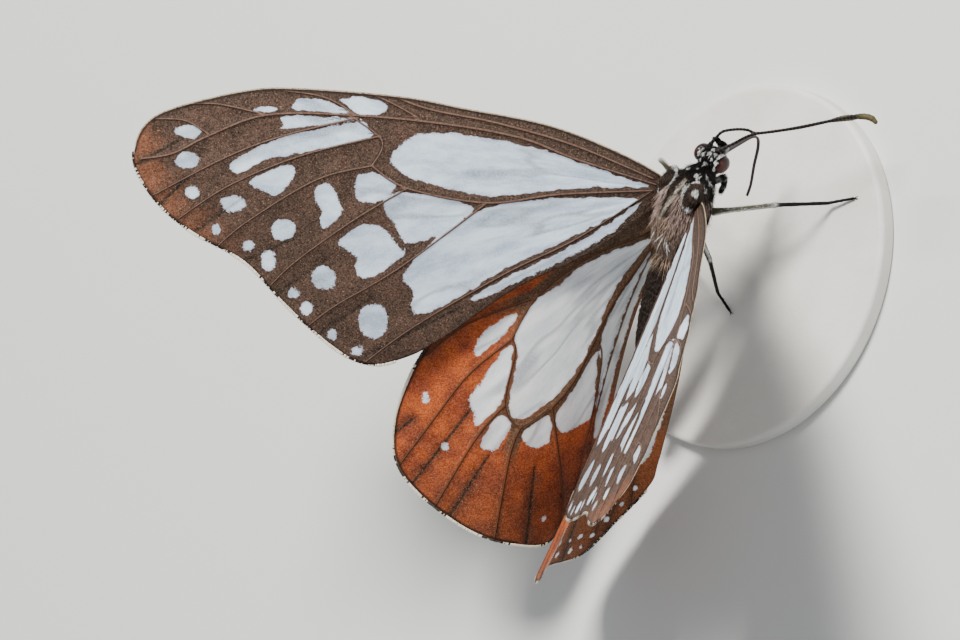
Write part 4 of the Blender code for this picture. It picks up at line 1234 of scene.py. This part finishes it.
def bristled(path, radius, count, length, width, lift):
    """A tube, and locks rooted on it that lean to its tip. Returns the arrays of both and how the locks
    are rooted: what locks() made, and each lock's share of the length and turn about the tube."""
    body = tube(path, radius, 120, 16)
    share, turn = RNG.uniform(0.02, 0.98, count), RNG.uniform(0, 2 * math.pi, count)
    line, ahead = spaced(path, share), spaced(path, np.clip(share + 0.01, 0, 1))
    along = unit(ahead - spaced(path, np.clip(share - 0.01, 0, 1)))
    across = unit(np.cross(along, TUBE_UP))
    out = np.cos(turn)[:, None] * across + np.sin(turn)[:, None] * np.cross(across, along)
    roots = line + out * radius(share)[:, None] * 0.95
    lie = along + lift * out + RNG.normal(0, 0.12, out.shape)
    made = locks(roots, lie, out, length * RNG.uniform(0.7, 1.2, count), width, 0.5, 0.1)
    return body, (made[0], list(made[1:3]), share[made[3]]), (made, share, turn)


def clad(names, node, slot, paints, body, hair, rooting, tint_of):
    """Two pieces: the limb, which replaces its node, and the hair on it, both tinted by tint_of."""
    made, share, turn = rooting
    hair_map = bake_map(np.c_[turn / (2 * math.pi), share], made[3], made[4])
    for name, paint, (points, faces, run), stands_for, corner in zip(
            names, paints, (body, hair), ((node,), ()), (None, hair_map)):
        piece(name, points, faces, paint, stands_for, slot, {"tint": tint_of(points, run)}, corner)


def palp_radius(s):
    """Thickest in the middle."""
    return 0.2 + 0.1 * np.sin(s * 3.1) - 0.1 * s


def palp_tint(points, run):
    """Black, white below."""
    return blend(np.tile(BLACK, (len(points), 1)), WHITE, 0.85 * ramp(-(points[:, 2] + 2.9), 0.0, 0.35))


for word, side in SIDES:
    path = smooth_line(np.multiply(PALP_PATH, (side, 1, 1)), 16)
    clad((f"palp_{word}_form", f"palp_hair_{word}_form"), f"palp_{word}", "body", (skin_paint, hair_paint),
         *bristled(path, palp_radius, 900, 0.26, 0.07, 0.45), palp_tint)

# %% [markdown]
# ## The legs
# A leg is a short hip, a long thigh, a shank and a foot of five small joints that ends in two claws.
# The thigh is black above and white below. The forelegs are reduced in this family: folded brushes.

# %% Legs
LEG_PATHS = {
    "midleg": {"right": ((1.2, -0.2, -4.3), (4.6, 2.8, -9.1), (6.8, 4.6, 0.95), (9.0, 6.4, 0.13)),
               "left": ((-1.2, 0.6, -4.2), (-7.0, 1.6, -3.8), (-9.1, -2.9, 1.05), (-11.0, -4.8, 0.13))},
    "hindleg": {"right": ((1.2, -2.6, -4.0), (1.7, -5.1, -6.8), (-0.4, -9.4, 1.05), (1.5, -10.6, 0.13)),
                "left": ((-1.2, -2.6, -4.0), (-3.4, -5.6, -7.4), (-4.9, -8.8, 1.05), (-6.1, -11.4, 0.13))},
}
BENT_POINTS, ROUNDINGS = 240, 14
FORELEG_PATH = ((0.75, 2.9, -3.5), (0.95, 3.7, -4.35), (0.8, 2.8, -5.05), (0.65, 1.9, -5.25))


def above_base(x, y, lift):
    """A point so many millimetres above the base, in the pitched body frame."""
    return (x, y, (BASE_TOP + lift - y * math.sin(PITCH)) / math.cos(PITCH))


def bent_path(corners):
    """Straight stretches between the corners, which averaging with the neighbours rounds."""
    line = spaced(np.array(corners, float), np.linspace(0, 1, BENT_POINTS))
    for _ in range(ROUNDINGS):
        line[1:-1] = (line[:-2] + line[1:-1] + line[2:]) / 3
    return line


def corner_shares(corners):
    """Each corner's share of the way along the straight stretches."""
    run = run_along(np.array(corners, float))
    return run / run[-1]


def leg_radius(knee, ankle):
    """Thick hip, thigh, slimmer shank and a foot with five swellings."""

    def radius(s):
        foot = ramp(s, ankle - 0.02, ankle + 0.02)
        body = 0.27 + 0.16 * np.exp(-(s / 0.08) ** 2) - 0.07 * ramp(s, knee - 0.02, knee + 0.04)
        body += 0.04 * np.exp(-((s - knee) / 0.015) ** 2) - 0.03 * ramp(s, knee, ankle)
        toes = 0.115 + 0.022 * np.abs(np.sin((s - ankle) / (1 - ankle) * 5 * math.pi))
        return body * (1 - foot) + toes * foot

    return radius


def spikes(start, ahead, aside, middle, end, radius, cuts, rings, sides):
    """Two curved spikes that part to both sides. middle and end give how far ahead, aside and up they go."""
    made = []
    for lean in (-1, 1):
        line = [start + far * ahead + lean * wide * aside + (0, 0, up) for far, wide, up in (middle, end)]
        made.append(tube(smooth_line([start, *line], cuts), radius, rings, sides))
    return made


def leg_tint(path, at_knee):
    """Black. The thigh is olive above with white along its sides, and the knee has a pale dot."""

    def tint(points, run):
        rise = points[:, 2] - spaced(path, np.clip(run, 0, 1))[:, 2]
        thigh = ramp(run, at_knee + 0.02, at_knee - 0.03)
        colour = blend(np.tile(BLACK * 1.3, (len(points), 1)), OLIVE, 0.9 * ramp(rise, 0.0, 0.12) * thigh)
        colour = blend(colour, WHITE * 0.8, 0.85 * ramp(np.abs(rise - 0.05), 0.12, 0.05) * thigh)
        return blend(colour, WHITE * 0.8, 0.5 * np.exp(-((run - at_knee) / 0.02) ** 2))

    return tint


leg_paint = coat_paint("leg_scales", 0.42, 0.15)
for kind, paths in LEG_PATHS.items():
    for word, (hip, knee, ankle, toe) in paths.items():
        corners = (hip, knee, above_base(*ankle), above_base(*toe))
        path = bent_path(corners)
        _, at_knee, at_ankle, _ = corner_shares(corners)
        body, hair, rooting = bristled(path, leg_radius(at_knee, at_ankle), 1500, 0.2, 0.055, 0.22)
        heading, shin = unit(path[-1] - path[-20]), unit(path[-60] - path[-80])
        aside = unit(np.cross(heading, (0, 0, 1)))
        claws = spikes(path[-1] - 0.05 * heading, heading, aside, (0.21, 0.1, 0.05), (0.35, 0.16, -0.07),
                       lambda s: 0.055 * (1 - s) + 0.012, 10, 24, 10)
        spurs = spikes(spaced(path, [at_ankle - 0.01])[0], shin, aside, (0.25, 0.14, 0.0), (0.5, 0.2, 0.0),
                       lambda s: 0.05 * (1 - s) + 0.01, 8, 20, 8)
        clad((f"{kind}_{word}_leg", f"{kind}_{word}_hair"), f"{kind}_{word}", "limb", (leg_paint, leg_paint),
             joined(body, *claws, *spurs), hair, rooting, leg_tint(path, at_knee))

# %% Forelegs


def foreleg_radius(s):
    """Thick at the hip."""
    return 0.3 - 0.12 * s


def foreleg_tint(points, run):
    """Black with faint pale rings."""
    return blend(np.tile(BLACK, (len(points), 1)), WHITE, 0.3 * ramp(np.sin(run * 20), 0.4, 0.9))


for word, side in SIDES:
    path = bent_path(np.multiply(FORELEG_PATH, (side, 1, 1)))
    clad((f"foreleg_{word}_form", f"foreleg_hair_{word}_form"), f"foreleg_{word}", "limb",
         (leg_paint, leg_paint), *bristled(path, foreleg_radius, 1100, 0.4, 0.05, 0.5), foreleg_tint)

# %% [markdown]
# ## Base, floor, light and camera
# The base is a low oval disc of painted board with an eased edge. Its profile, a share of the half
# width and a height, is carried round an ellipse.

# %% The base
BASE_HALF = (17.0, 19.0)
BASE_THICK = 2.0
BASE_ROUND = 288
edge = np.linspace(0, math.pi / 2, 9)
profile = [(0.02, 0.0)] + [(r, 0.0) for r in np.linspace(0.1, 0.955, 24)]
profile += [(1 - 0.03 * (1 - math.sin(a)), -0.5 * (1 - math.cos(a))) for a in edge]
profile += [(1 - 0.018 * (1 - math.cos(a)), -BASE_THICK + 0.3 * (1 - math.sin(a))) for a in edge]
profile += [(r, -BASE_THICK) for r in np.linspace(0.95, 0.1, 12)] + [(0.02, -BASE_THICK)]
profile = np.array(profile)
around = np.arange(BASE_ROUND) * 2 * math.pi / BASE_ROUND
oval = np.stack((np.cos(around) * BASE_HALF[0], np.sin(around) * BASE_HALF[1]), axis=1)
level = np.broadcast_to(profile[:, 1, None, None], (len(profile), BASE_ROUND, 1))
disc = np.concatenate([profile[:, :1, None] * oval[None], level], axis=2).reshape(-1, 3)
disc += (0, BASE_CENTRE_Y, BASE_TOP)
board = Paint("painted_board", Specular_IOR_Level=0.4)
where = board.place()
orange_peel, dust = board.noise(where, 2.2, 3.0), board.noise(where, 0.12, 4.0)
board_tone = board.mix(board.step(dust, 0.35, 0.7), screen(226, 224, 218), screen(216, 213, 206))
board_paint = board.finish(board_tone, orange_peel * 0.12 + 0.48, orange_peel, 0.03)
base_faces = closed_faces(len(profile), BASE_ROUND)
piece("stand_base_board", disc, base_faces, board_paint, ("stand_base",), "base", level=True)

# %% Floor and light
ground = Paint("floor", Roughness=0.8)
where = ground.place(1.0)
ground_tone = ground.mix(ground.noise(where, 6.0, 3.0), screen(214, 215, 212), screen(222, 222, 219))
floor_paint = ground.finish(ground_tone, ground.noise(where, 30.0) * 0.1 + 0.75)
FLOOR_HALF = 900.0
floor_points = np.array([(x, y, -SHIFT[2] / FLOOR_HALF) for x in (-1, 1) for y in (-1, 1)]) * FLOOR_HALF
floor = piece("floor", floor_points, [np.array([(0, 2, 3, 1)])], floor_paint, level=True)
if floor.data.polygons[0].normal.z < 0:
    floor.data.flip_normals()

world = bpy.data.worlds.new("studio")
world.use_nodes = True
world.node_tree.nodes["Background"].inputs["Color"].default_value = (0.93, 0.96, 1.0, 1)
world.node_tree.nodes["Background"].inputs["Strength"].default_value = 0.48
bpy.context.scene.world = world

# %% [markdown]
# The camera looks at the insect as the photograph does: from above and behind its left side, with the
# left forewing almost face on. Its axes are given in the body frame, and the model frame turns them.

# %% Camera
CAMERA_X = np.array((0.6447, 0.3908, -0.6570))
CAMERA_Y = np.array((-0.4616, 0.8841, 0.0729))
CAMERA_Z = np.array((0.6094, 0.2563, 0.7503))
DISTANCE, LOOK_RIGHT, LOOK_UP = 700.0, -19.6, -11.85
axes = [unit(TILT @ axis) for axis in (CAMERA_X, CAMERA_Y, CAMERA_Z)]


def standing(right, up, back, place):
    """The matrix whose columns are the three axes and the place, in metres."""
    rows = np.eye(4)
    rows[:3] = np.stack((right, up, back, place), axis=1)
    return Matrix([tuple(row) for row in rows])


lens = bpy.data.cameras.new("camera")
lens.sensor_width, lens.lens = 36.0, 262.5
lens.clip_start, lens.clip_end = 0.01, 10.0
camera = bpy.data.objects.new("camera", lens)
bpy.context.scene.collection.objects.link(camera)
position = in_model(LOOK_RIGHT * CAMERA_X + LOOK_UP * CAMERA_Y + DISTANCE * CAMERA_Z)
camera.matrix_world = standing(*axes, position)
bpy.context.scene.camera = camera
print("camera height above the floor, mm:", round(position[2] / MM))

# %% Softboxes
LIGHT_CENTRE, LIGHT_AIM = np.array((0, 0, 0.02)), np.array((0, 0, 0.015))


def softbox(name, toward, distance, size, power, colour):
    """A square area light that faces the insect, in a direction made of the camera's right, up and back."""
    where = unit(sum(k * axis for k, axis in zip(toward, axes))) * distance + LIGHT_CENTRE
    light = bpy.data.lights.new(name, "AREA")
    light.size, light.energy, light.color = size, power, colour
    obj = bpy.data.objects.new(name, light)
    back = unit(where - LIGHT_AIM)
    side = unit(np.cross((0, 0.2, 1), back))
    obj.matrix_world = standing(side, np.cross(back, side), back, where)
    bpy.context.scene.collection.objects.link(obj)


softbox("key", (-0.5, 0.75, 0.8), 0.55, 0.16, 6.4, (1.0, 0.98, 0.94))
softbox("fill", (0.9, -0.1, 0.6), 0.6, 0.4, 1.6, (0.93, 0.96, 1.0))
